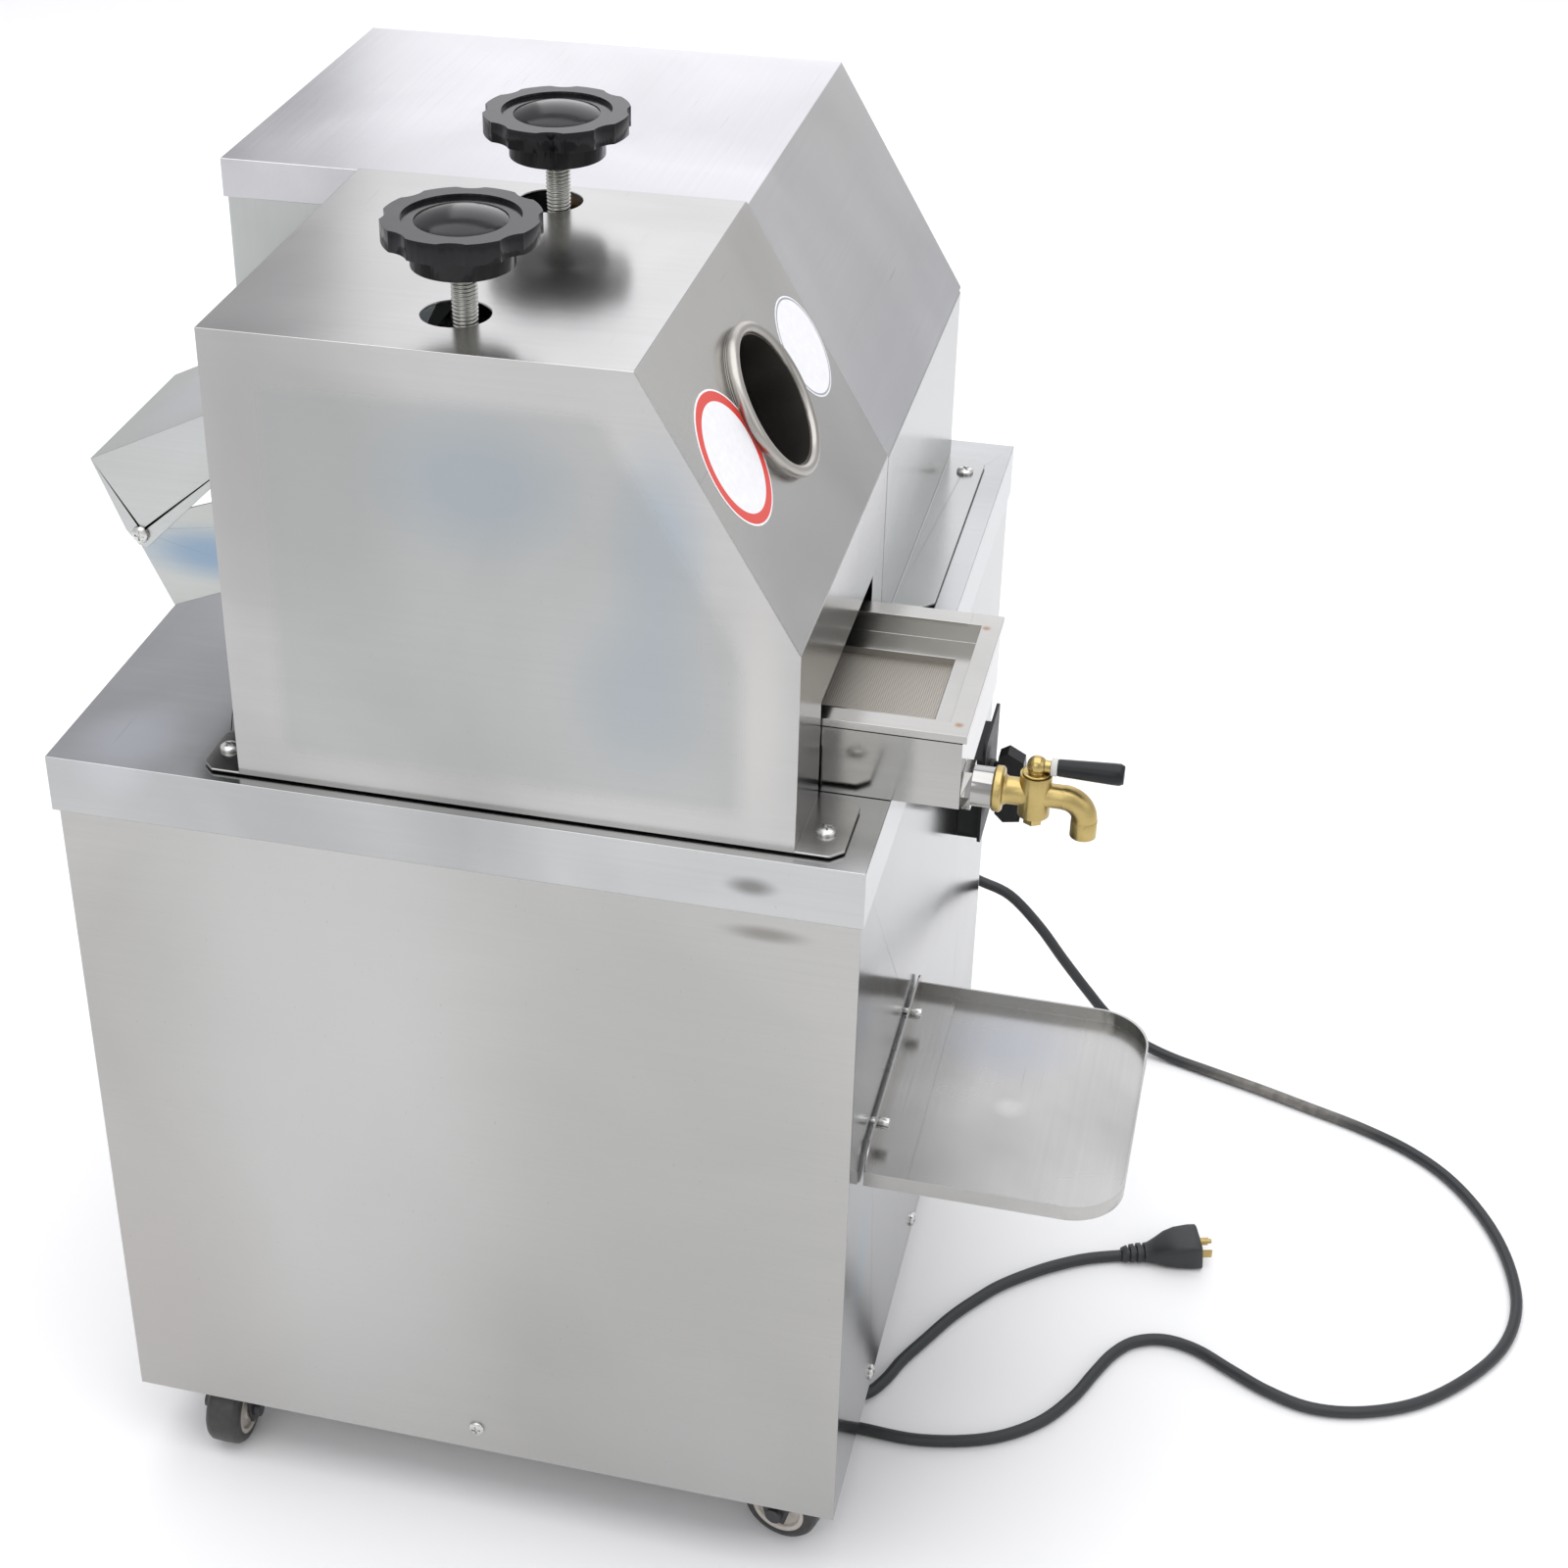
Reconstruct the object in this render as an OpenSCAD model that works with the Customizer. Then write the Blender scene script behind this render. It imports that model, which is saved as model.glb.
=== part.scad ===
/* [Cabinet] */
// Width of the top cap, left to right
cab_w = 527; // [500:1:560]
// Depth of the top cap, front to back
cab_d = 460; // [445:1:480]
// Height of the cap's top above the panels' lower edge
cap_z = 476; // [460:1:500]
// Height of the cap's turned-down lip
lip_h = 35; // [25:1:40]
// Thickness of the cap and cover sheet
sheet = 1.2; // [0.8:0.1:1.5]
// Height of the panels' lower edge above the floor
floor_gap = 54; // [50:1:60]

/* [Covers] */
// Height of the covers above the cap
cover_h = 261.5; // [250:0.5:275]
// Height of the vertical front wall of the covers
knee_h = 118.5; // [110:0.5:125]
// Distance of the covers' front wall behind the cap's front edge
cover_front = 39; // [35:1:45]
// Length of the sloping face, measured level
slope_run = 84.5; // [78:0.5:90]
// Distance of the roller cover's back wall behind the cap's front edge
roller_back = 348; // [342:1:348]
// Distance of the gear cover's back wall behind the cap's front edge
gear_back = 433; // [425:1:440]

/* [Feed mouth] */
// Radius of the feed tube's bore
feed_bore_r = 36.5; // [32:0.5:38]
// Radius of the feed tube's rolled rim
feed_rim_r = 43.5; // [42:0.5:44]
// Distance of the feed mouth's centre up the slope
feed_up = 90; // [86:1:94]

/* [Mill] */
// Diameter of the crushing rollers
roller_d = 66; // [62:1:66]
// Diameter of the roller shafts
shaft_d = 25; // [22:1:25]
// Thickness of the two cheek plates
cheek_t = 14; // [10:1:14]

/* [Pressure screws] */
// Diameter across the lobes of a hand knob
knob_d = 80; // [70:1:84]
// Diameter of a pressure screw
screw_d = 13.6; // [12:0.2:14]
// Height of a knob's upper face above the cap
knob_top = 313; // [308:1:325]

/* [Juice tray and tap] */
// Height of the tray's side walls
tray_h = 41; // [36:1:44]
// Length of the tray
tray_len = 336; // [320:1:336]
// Radius of the tap's outlet bore
spout_bore_r = 6; // [4:0.5:7]

/* [Cup shelf] */
// Width of the shelf
shelf_w = 188; // [170:1:200]
// Reach of the shelf in front of the cabinet
shelf_reach = 145; // [130:1:150]
// Height of the shelf's underside above the panels' lower edge
shelf_z = 234; // [200:1:240]

/* [Casters] */
// Diameter of a caster wheel
wheel_d = 50; // [46:1:50]
// Width of a caster wheel
wheel_w = 24; // [18:1:24]

/* [Cord] */
// Diameter of the power cord
cord_d = 8; // [7:0.5:9]

/* [Hidden] */
$fn = 64;

gap = 0.3;             // play between pieces of different bodies
fit = 0.05;            // radial play of a shaft in its bore
front_reach = -shelf_reach;
mid_y = (front_reach + cab_d) / 2;

// Cabinet
skin_in = 1.5;         // panels stand this far inside the cap's edge
back_in = 4;
panel_top = cap_z - sheet - 0.3;
base_z = 20.5;         // underside of the frame
bar = 16;              // side of the frame's square bars

// Covers: corners of the side outline, moved inwards by t
cover_top = cap_z + cover_h;
knee_z = cap_z + knee_h;
slope_rise = cover_h - knee_h;
slope_len = sqrt(slope_run * slope_run + slope_rise * slope_rise);
slope_cos = slope_run / slope_len;
slope_sin = slope_rise / slope_len;
cover_foot = cap_z + 1.2;
roller_x0 = 8;
roller_x1 = 245;
gear_x0 = 245.4;
gear_x1 = 504;
lid_lip = 24.5;
lid_drop = 1.5;        // the gear cover's top lies this far below the roller cover's
function side_outline(t, back, foot, drop) = [
    [cover_front + t, foot],
    [cover_front + t, knee_z + t * (slope_sin - 1) / slope_cos],
    [cover_front + slope_run + t * (1 - slope_cos) / slope_sin - drop * slope_cos / slope_sin,
        cover_top - t - drop],
    [back - t, cover_top - t - drop],
    [back - t, foot]];

// Gears: module and numbers of teeth
gear_m = 4;
roller_teeth = 17;
bull_teeth = 41;
pinion_teeth = 13;

// Mill: roller centres
mill_x = 138;
cheek_in = 75;         // half the gap between the cheek plates
left_cheek = mill_x - cheek_in - cheek_t;
right_cheek = mill_x + cheek_in;
top_y = 223;
top_z = cap_z + 154;
roller_pitch = gear_m * roller_teeth;
low_dy = 40;
low_dz = sqrt(roller_pitch * roller_pitch - low_dy * low_dy);
front_y = top_y - low_dy;
rear_y = top_y + low_dy;
low_z = top_z - low_dz;
barrel_len = 2 * cheek_in - 2;
cheek_y0 = 128;
cheek_y1 = 318;
cheek_top = cap_z + 240;
bush_r = shaft_d / 2 + 6;
block_w = 46;
block_h = 50;
slot_top = top_z + 72;

// Gear train
roller_gear_x = 262;
gear_w = 20;
bull_x = 292;
drive_centre = gear_m * (bull_teeth + pinion_teeth) / 2;
drive_angle = 25;
counter_y = front_y + drive_centre * cos(drive_angle);
counter_z = low_z + drive_centre * sin(drive_angle);
counter_d = 25;
pulley_x = 395;
large_r = 84;
small_r = 32;
belt_w = 13;
belt_t = 8;
motor_z = 122;
motor_r = 76;
motor_x0 = 90;
motor_x1 = 320;

// Pressure screws
left_screw_x = left_cheek + cheek_t / 2;
right_screw_x = right_cheek + cheek_t / 2;
knob_z = cap_z + knob_top;
feed_depth = 56;

// Tray and tap
tray_x0 = 72;
tray_x1 = 208;
tray_y0 = -36;
tray_z = cap_z + 0.4;
tap_x = 86;
tap_z = cap_z + 8;
tap_y = tray_y0 - 38;
strainer_x0 = 71;
strainer_w = 134;
strainer_len = 290;
strainer_z = tray_z + tray_h + 0.3;

// Chute: corners in the machine's side view
duct_x0 = 81.6;
duct_x1 = 194.4;
hood_x0 = 80;
hood_x1 = 196;
pivot = [426, cap_z + 102];
chute_tip = [451.5, cap_z + 145];
duct_end = [411.5, cap_z + 58.5];
duct_in_y = 313;

// Shelf
shelf_x0 = 40;
shelf_rim = 10;
shelf_corner = 32;

// Switch
switch_x = 400;
switch_z = 290;

// Casters: swivel centres and the way each wheel trails at rest
swivel_in = 43;
front_swivel_y = 56;
back_swivel_y = 404;
trail = 18;
axle_z = wheel_d / 2 - floor_gap;
swivels = [[swivel_in, front_swivel_y, 257], [cab_w - swivel_in, front_swivel_y, -25],
    [swivel_in, back_swivel_y, 180], [cab_w - swivel_in, back_swivel_y, 25]];

// Cord: points along its centre line, in the machine's own coordinates
gland_y = 62;
gland_z = 95;
lie = cord_d / 2 - floor_gap;
cord_points = [[536, 62, 95], [545, 62, 95], [557, 59.8, 95], [567.5, 53.7, 94.8], [575.3, 44.5, 94],
    [579.3, 33.5, 92.5], [580.5, 21, 90], [580, 6.7, 84.7], [579, -17, 76], [579, -41, 51.5],
    [580, -62, 22.5], [581, -83, -5], [581, -101, -26], [579, -125, -43], [573, -151, -49.5],
    [564, -180, lie], [552, -218, lie], [538, -258, lie], [523, -299, lie], [504, -335, lie],
    [478, -364, lie], [440, -388, lie], [398, -403, lie], [354, -408, lie], [313, -399, lie],
    [276, -376, lie], [245, -345, lie], [227, -310, lie], [222, -277, lie], [230, -248, lie],
    [244, -222, lie], [257, -199, lie], [261, -177, lie], [254, -158, lie], [239, -145, lie],
    [218, -135, lie], [190, -123, lie], [162, -104, lie], [140, -74, lie], [128, -33, lie],
    [128, 7, lie], [129.5, 45, lie], [133, 82, lie], [136.3, 108, lie], [136.8, 125, lie],
    [131.9, 143.2, lie], [118.7, 156.4, lie], [100.5, 161.3, lie], [82.4, 156.4, lie],
    [69.1, 143.2, lie], [64.2, 125, lie + 0.3], [69.1, 106.8, lie + 2], [81.3, 94.2, lie + 4.8],
    [96.7, 88.9, lie + 7.6], [113.5, 86, lie + 9], [128, 79.5, lie + 9.4], [138.5, 66, lie + 8.4],
    [144, 46, lie + 5], [149, 26, lie + 2], [160, 9, lie + 0.4], [176, -0.5, lie], [196, -8, lie],
    [220, -20, lie], [247, -34, lie], [268, -48, lie], [285, -61, lie], [303, -80, lie], [317, -98, lie],
    [329, -118, lie], [337.5, -139, lie]];
cord_rings = 80;
plug_angle = -73.2;      // heading of the plug on the floor

// ---------------------------------------------------------------- helpers

// Everything is drawn in machine coordinates and set on the floor here
module placed() { translate([-cab_w / 2, -mid_y, floor_gap]) children(); }

// A side-view outline, in y and z, drawn out along x
module along_x(x0, len) { translate([x0, 0, 0]) rotate([90, 0, 90]) linear_extrude(len) children(); }

// An outline in x and z drawn out towards +y
module along_y(y0, len) {
    translate([0, y0 + len, 0]) rotate([90, 0, 0]) linear_extrude(len) children();
}

module rod_x(x0, x1, y, z, r) { translate([x0, y, z]) rotate([0, 90, 0]) cylinder(h = x1 - x0, r = r); }

module rod_y(x, y0, y1, z, r) { translate([x, y1, z]) rotate([90, 0, 0]) cylinder(h = y1 - y0, r = r); }

module rod_z(x, y, z0, z1, r) { translate([x, y, z0]) cylinder(h = z1 - z0, r = r); }

module block(a, b) { translate(a) cube(b - a); }

// Level plate with round corners
module round_plate(a, b, r) {
    union() {
        block([a[0] + r, a[1], a[2]], [b[0] - r, b[1], b[2]]);
        block([a[0], a[1] + r, a[2]], [b[0], b[1] - r, b[2]]);
        for (x = [a[0] + r, b[0] - r], y = [a[1] + r, b[1] - r]) rod_z(x, y, a[2], b[2], r);
    }
}

// Pan head with its shank behind it, pointing along +z from the seat
module pan_screw(r = 5, h = 3, shank_r = 2.4, shank = 6) {
    translate([0, 0, -shank]) cylinder(h = shank + 0.5, r = shank_r);
    rotate_extrude() polygon(concat([[0, 0], [r, 0], [r, h * 0.35]],
        [for (i = [1:6]) [r * cos(i * 15), h * 0.35 + h * 0.65 * sin(i * 15)]]));
}

// Spur gear with flat-sided teeth, drawn along x from x0; turn sets its rest angle
function tooth_points(teeth, m) = let (rp = m * teeth / 2, ra = rp + m * 0.92, rf = rp - m * 1.18)
    [for (i = [0:teeth - 1]) let (a = 360 / teeth * i, q = 360 / teeth)
        for (p = [[-0.29, rf], [-0.225, rp], [-0.105, ra], [0.105, ra], [0.225, rp], [0.29, rf]])
            [p[1] * cos(a + p[0] * q), p[1] * sin(a + p[0] * q)]];

module gear(teeth, x0, w, y, z, bore_r, turn, web = 0) {
    difference() {
        translate([x0, y, z]) rotate([90, 0, 90]) rotate(turn) linear_extrude(w)
            polygon(tooth_points(teeth, gear_m));
        rod_x(x0 - 1, x0 + w + 1, y, z, bore_r);
        if (web > 0) for (side = [x0 - 1, x0 + w - 4]) difference() {
            rod_x(side, side + 5, y, z, gear_m * teeth / 2 - 12);
            rod_x(side - 1, side + 6, y, z, bore_r + 11);
        }
        if (web > 0) for (i = [0:web - 1])
            rod_x(x0 - 1, x0 + w + 1, y + 46 * cos(i * 360 / web), z + 46 * sin(i * 360 / web), 14);
    }
}

// ---------------------------------------------------------------- cabinet

// Welded frame of square bars, drawn butt to butt with a hairline between them
module base_frame() {
    x0 = 4;
    x1 = cab_w - 4;
    y0 = 4;
    y1 = cab_d - back_in - 3.2;
    z1 = cap_z - sheet - 0.2;
    ya = y0 + bar + 0.05;
    yb = y1 - bar - 0.05;
    color("dimgray") placed() {
        for (z = [base_z, z1 - bar]) {
            for (y = [y0, y1 - bar]) block([x0, y, z], [x1, y + bar, z + bar]);
            for (x = [x0, x1 - bar]) block([x, ya, z], [x + bar, yb, z + bar]);
        }
        for (x = [x0, x1 - bar], y = [y0, y1 - bar])
            block([x, y, base_z + bar + 0.05], [x + bar, y + bar, z1 - bar - 0.05]);
        // rails under the motor and under the cheek plates and pillow blocks
        for (x = [150, 250]) block([x, ya, base_z + 2], [x + 25, yb, base_z + 14]);
        for (x = [left_cheek - 6, right_cheek - 6, 318]) block([x, ya, z1 - 14], [x + 26, yb, z1]);
    }
}

module bottom_plate() {
    color("silver") placed() difference() {
        block([4, 4, base_z - 1.5], [cab_w - 4, cab_d - back_in - 3.2, base_z]);
        for (i = [0:5], x = [120, 330]) block([x, 150 + i * 24, 0], [x + 60, 156 + i * 24, 30]);
    }
}

// Side panel with turned-in front, back and lower flanges; side is 1 on the left, -1 on the right
module side_panel(x, side) {
    y0 = skin_in;
    y1 = cab_d - back_in;
    x1 = x + side * sheet;
    xf = x + side * 12;
    block([min(x, x1), y0, 0], [max(x, x1), y1, panel_top]);
    block([min(x, xf), y0 + sheet + 0.1, 0], [max(x, xf), y1, sheet]);
    block([min(x, xf), y1 - sheet, 0], [max(x, xf), y1, panel_top]);
}

module left_panel() {
    color("lightgray") placed() difference() {
        side_panel(skin_in, 1);
        rod_x(-2, 8, 228, 18.5, 2.6);
    }
}

module right_panel() {
    color("lightgray") placed() difference() {
        side_panel(cab_w - skin_in, -1);
        rod_x(cab_w - 8, cab_w + 2, 228, 18.5, 2.6);
        rod_x(cab_w - 8, cab_w + 2, gland_y, gland_z, 8.2);
        for (i = [0:7]) block([cab_w - 8, 250, 90 + i * 14], [cab_w + 2, 350, 94 + i * 14]);
    }
}

module front_panel() {
    color("gainsboro") placed() difference() {
        union() {
            block([skin_in + sheet + 0.1, skin_in, 0],
                [cab_w - skin_in - sheet - 0.1, skin_in + sheet, panel_top]);
            block([skin_in + 14, skin_in, 0], [cab_w - skin_in - 14, skin_in + 10, sheet]);
        }
        for (x = [268, 268 - 150, 268 + 150]) rod_y(x, -2, 8, 12, 2.6);
        for (x = bolt_xs) rod_y(x, -2, 8, shelf_bolt_z, 3.2);
        rod_y(switch_x, -2, 8, switch_z, 9);
    }
}

module back_panel() {
    color("lightgray") placed() difference() {
        block([skin_in + sheet + 0.1, cab_d - back_in - 2 * sheet - 0.2, 1.4],
            [cab_w - skin_in - sheet - 0.1, cab_d - back_in - sheet - 0.1, panel_top]);
        for (i = [0:9], x = [120, 300])
            block([x, cab_d - 20, 110 + i * 16], [x + 110, cab_d + 2, 115 + i * 16]);
        for (x = [60, 467], z = [30, 400]) rod_y(x, cab_d - 20, cab_d + 2, z, 2.6);
    }
}

module top_cap() {
    color("whitesmoke") placed() difference() {
        block([0, 0, cap_z - lip_h], [cab_w, cab_d, cap_z]);
        block([sheet, sheet, cap_z - lip_h - 1], [cab_w - sheet, cab_d - sheet, cap_z - sheet]);
        block([pulley_x - 16, counter_y - 88, cap_z - 5], [pulley_x + 16, counter_y + 88, cap_z + 1]);
        for (p = tab_screws) rod_z(p[0], p[1], cap_z - 5, cap_z + 1, 2.5);
    }
}

// Corners of the two covers' foot tabs: [x, y] of each screw
tab_screws = [[30, 27], [30, 362], [474, 25], [480, 446], [262, 446]];

module pan_screws() {
    color("silver") placed() {
        for (p = tab_screws) {
            translate([p[0], p[1], cover_foot + sheet + 0.1]) pan_screw(5.4, 3.2, 2.3, 3.5);
            rod_z(p[0], p[1], cap_z + 0.05, cover_foot - 0.05, 5);
        }
        translate([skin_in - 0.1, 228, 18.5]) rotate([0, -90, 0]) pan_screw(5, 2.6, 2.4, 2);
        translate([cab_w - skin_in + 0.1, 228, 18.5]) rotate([0, 90, 0]) pan_screw(5, 2.6, 2.4, 2);
        for (x = [268, 268 - 150, 268 + 150])
            translate([x, skin_in - 0.1, 12]) rotate([90, 0, 0]) pan_screw(5, 2.6, 2.4, 6);
        for (x = [60, 467], z = [30, 400])
            translate([x, cab_d - back_in - sheet, z]) rotate([-90, 0, 0]) pan_screw(5, 2.6, 2.4, 1.8);
        for (side = [-1, 1])
            translate([side < 0 ? hood_x0 - gap : hood_x1 + gap, pivot[0], pivot[1]])
                rotate([0, side * 90, 0]) pan_screw(5, 3, 2.45, 6);
        for (x = [70, 206]) translate([x, roller_back + sheet + 0.4, cap_z + 100])
            rotate([-90, 0, 0]) pan_screw(4, 2.2, 1.9, 6);
    }
}

// ---------------------------------------------------------------- covers

// Flat foot tab with its outer corners cut off
module foot_tab(x0, x1, y0, y1, sx, sy) {
    cut = 7;
    out = y1 > y0;
    translate([0, 0, cover_foot]) difference() {
        linear_extrude(sheet) polygon([[x0, y0], [x1, y0], [x1, y1 - (out ? cut : -cut)],
            [x1 - cut, y1], [x0 + cut, y1], [x0, y1 - (out ? cut : -cut)]]);
        translate([sx, sy, -1]) cylinder(h = 4, r = 2.6);
    }
}

// Folded cover, and the sloping sheet welded into it; the two are drawn with a hairline between
module roller_cover() {
    outer = side_outline(0, roller_back, cover_foot, 0);
    inner = side_outline(sheet, roller_back, cover_foot - 1, 0);
    knee = [outer[1], inner[1]];
    edge = [outer[2], inner[2]];
    hair = 0.05 * (edge[0] - knee[0]) / slope_len;
    color("lightgray") placed() {
        difference() {
            union() {
                difference() {
                    along_x(roller_x0, roller_x1 - roller_x0) polygon(outer);
                    along_x(roller_x0 + sheet, roller_x1 - roller_x0 + 1) polygon(inner);
                }
                foot_tab(roller_x0, 64, cover_front + sheet, 14, 30, 27);
                foot_tab(roller_x0, 52, roller_back - sheet, 371, 30, 362);
            }
            // tray cut-out in the front wall
            block([67.5, cover_front - 2, cap_z - 1], [213, cover_front + 5, cap_z + 58]);
            // holes for the two pressure screws
            for (x = [left_screw_x, right_screw_x])
                rod_z(x, top_y + 5, cover_top - 5, cover_top + 1, 18);
            // discharge opening in the back wall
            block([hood_x0 + 0.6, roller_back - 5, cap_z + 72],
                [hood_x1 - 0.6, roller_back + 2, cap_z + 192]);
            for (x = [70, 206]) rod_y(x, roller_back - 8, roller_back + 3, cap_z + 100, 2.1);
            // room for the sloping sheet, cut on the mitre at both folds
            along_x(roller_x0 + sheet, roller_x1 - roller_x0) polygon([1.5 * knee[0] - 0.5 * knee[1],
                1.5 * edge[0] - 0.5 * edge[1], 1.5 * edge[1] - 0.5 * edge[0],
                1.5 * knee[1] - 0.5 * knee[0]]);
        }
        difference() {
            along_x(roller_x0 + sheet + 0.05, roller_x1 - roller_x0 - sheet - 0.05)
                polygon([knee[0] + hair, edge[0] - hair, edge[1] - hair, knee[1] + hair]);
            // feed mouth
            translate([mill_x - 6, cover_front + feed_up * slope_cos, knee_z + feed_up * slope_sin])
                rotate([slope_tilt, 0, 0]) translate([0, 0, -10]) cylinder(h = 20, r = feed_rim_r - 4);
        }
    }
}

// The slope's outward direction, as a turn about x from straight up
slope_tilt = atan2(slope_rise, slope_run);

module gear_housing() {
    under = 2.6;
    wall_top = cover_top - lid_drop - sheet - 0.1;
    shoulder = cover_front + (wall_top - knee_z + under) * slope_cos / slope_sin;
    color("silver") placed() difference() {
        union() {
            difference() {
                along_x(gear_x0 + 2, gear_x1 - gear_x0 - 4) polygon([[cover_front, cover_foot],
                    [cover_front, knee_z - under], [shoulder, wall_top], [gear_back - 2, wall_top],
                    [gear_back - 2, cover_foot]]);
                along_x(gear_x0 + 2 + sheet, gear_x1 - gear_x0 - 4 - 2 * sheet) polygon([
                    [cover_front + sheet, cover_foot - 1], [cover_front + sheet, knee_z - under - 1],
                    [shoulder + 1, wall_top - sheet], [gear_back - 2 - sheet, wall_top - sheet],
                    [gear_back - 2 - sheet, cover_foot - 1]]);
                // open under the lid, with a narrow inward rim for it to sit on
                block([gear_x0 + 12, cover_front + sheet + 6, knee_z - 2],
                    [gear_x1 - 12, gear_back - 12, wall_top + 1]);
            }
            foot_tab(285, 496, cover_front + sheet, 14, 474, 25);
            foot_tab(252, 496, gear_back - 2 - sheet, 456, 480, 446);
        }
        // window for the roller shafts
        block([gear_x0, cheek_y0 + 12, cap_z + 40], [gear_x0 + 6, cheek_y1 - 12, cap_z + 200]);
        rod_z(262, 446, cap_z, cap_z + 8, 2.6);
    }
}

module gear_lid() {
    color("whitesmoke") placed() difference() {
        along_x(gear_x0, gear_x1 - gear_x0) polygon([
            [cover_front, knee_z], side_outline(0, gear_back, 0, lid_drop)[2],
            [gear_back, cover_top - lid_drop], [gear_back, cover_top - lid_lip],
            [cover_front + slope_run - 10, cover_top - lid_lip], [cover_front + 16, knee_z + 4]]);
        along_x(gear_x0 + sheet, gear_x1 - gear_x0 - 2 * sheet) polygon([
            [cover_front - 20, knee_z - 20 * slope_sin / slope_cos - 2.6],
            side_outline(sheet, gear_back, 0, lid_drop)[2],
            [gear_back - sheet, cover_top - lid_drop - sheet],
            [gear_back - sheet, cover_top - lid_lip - 20], [cover_front + slope_run, knee_z - 40]]);
    }
}

module feed_collar() {
    rim = 3.4;
    proud = 3.6;
    color("darkgray") placed()
        translate([mill_x - 6, cover_front + feed_up * slope_cos, knee_z + feed_up * slope_sin])
            rotate([slope_tilt, 0, 0]) rotate_extrude($fn = 96) union() {
                translate([feed_bore_r, -feed_depth]) square([sheet + 0.4, feed_depth + proud]);
                translate([feed_rim_r - rim, proud]) circle(r = rim, $fn = 32);
                translate([feed_bore_r, 0.2]) square([feed_rim_r - feed_bore_r - 1.5, sheet]);
            }
}

// ---------------------------------------------------------------- mill

tie_zs = [cap_z + 70, cap_z + 114];

module cheek_plate(x) {
    foot_x = x + (x < mill_x ? -16 : 0);
    difference() {
        union() {
            // broad bridge that carries the pressure screw's bush
            block([x - 9, top_y - 36, slot_top - 0.5], [x + cheek_t + 9, top_y + 36, cheek_top]);
            along_x(x, cheek_t) polygon([[cheek_y0, cap_z + 0.2], [cheek_y1, cap_z + 0.2],
                [cheek_y1, cap_z + 150], [cheek_y1 - 45, cheek_top], [cheek_y0 + 45, cheek_top],
                [cheek_y0, cap_z + 150]]);
            block([foot_x, cheek_y0, cap_z + 0.2], [foot_x + cheek_t + 16, cheek_y1, cap_z + 10]);
        }
        along_x(x - 1, cheek_t + 2) translate([top_y - block_w / 2 - gap, top_z - block_h / 2 - 0.5])
            square([block_w + 2 * gap, slot_top - top_z + block_h / 2]);
        for (y = [front_y, rear_y]) rod_x(x - 1, x + cheek_t + 1, y, low_z, bush_r);
        rod_z(x + cheek_t / 2, top_y, slot_top - 5, cheek_top + 1, 4 + screw_d / 2);
        for (y = [cheek_y0 + 14, cheek_y1 - 14], z = tie_zs)
            rod_x(x - 1, x + cheek_t + 1, y, z, 6.1);
    }
}

module cheek_plates() {
    color("slategray") placed() {
        cheek_plate(left_cheek);
        cheek_plate(right_cheek);
    }
}

module tie_rods() {
    color("silver") placed()
        for (y = [cheek_y0 + 14, cheek_y1 - 14], z = tie_zs) {
            rod_x(left_cheek - 9, right_cheek + cheek_t + 9, y, z, 6);
            rod_x(left_cheek + cheek_t + 0.1, right_cheek - 0.1, y, z, 9);
            for (x = [left_cheek - 8, right_cheek + cheek_t])
                translate([x, y, z]) rotate([0, 90, 0]) cylinder(h = 8, r = 10, $fn = 6);
        }
}

// Plain bearings of the lower rollers, and the threaded bushes of the pressure screws
module bushes() {
    color("goldenrod") placed() {
        for (x = [left_cheek, right_cheek], y = [front_y, rear_y]) difference() {
            rod_x(x, x + cheek_t, y, low_z, bush_r);
            rod_x(x - 1, x + cheek_t + 1, y, low_z, shaft_d / 2 + fit);
        }
        for (x = [left_screw_x, right_screw_x]) difference() {
            union() {
                rod_z(x, top_y, slot_top, cheek_top, 4 + screw_d / 2);
                translate([x, top_y, cheek_top]) cylinder(h = 6, r = 15, $fn = 6);
            }
            rod_z(x, top_y, slot_top - 1, cheek_top + 7, screw_d / 2 + fit);
        }
    }
}

// Turn plate under the top roller, and the scraper blade behind it
module scrapers() {
    x0 = left_cheek + cheek_t + 0.02;
    len = 2 * cheek_in - 0.04;
    color("darkgray") placed() {
        along_x(x0, len) polygon([[top_y - 3.5, low_z - 22], [top_y + 3.5, low_z - 22],
            [top_y + 3.5, low_z + 6], [top_y + 9, top_z - roller_d / 2 - 6],
            [top_y, top_z - roller_d / 2 - 4], [top_y - 9, top_z - roller_d / 2 - 6],
            [top_y - 3.5, low_z + 6]]);
        along_x(x0, len) polygon([[top_y + roller_d / 2 + 3, top_z + 6],
            [top_y + roller_d / 2 + 4, top_z + 3],
            [top_y + 62, top_z + 26], [top_y + 62, top_z + 42], [top_y + 52, top_z + 42],
            [top_y + 52, top_z + 29]]);
    }
}

module barrel(x0, len, y, z) {
    flutes = 24;
    difference() {
        rod_x(x0, x0 + len, y, z, roller_d / 2);
        for (i = [0:flutes - 1]) translate([x0 - 1, y, z]) rotate([i * 360 / flutes, 0, 0])
            translate([0, roller_d / 2 + 0.9, 0]) rotate([45, 0, 0]) cube([len + 2, 2.6, 2.6]);
    }
}

module roller(y, z, end_x) {
    union() {
        barrel(mill_x - barrel_len / 2, barrel_len, y, z);
        rod_x(left_cheek - 6, end_x, y, z, shaft_d / 2);
    }
}

module front_roller() { color("silver") placed() roller(front_y, low_z, 352); }
module rear_roller() { color("silver") placed() roller(rear_y, low_z, 286); }
module top_roller() { color("silver") placed() roller(top_y, top_z, 286); }

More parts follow.
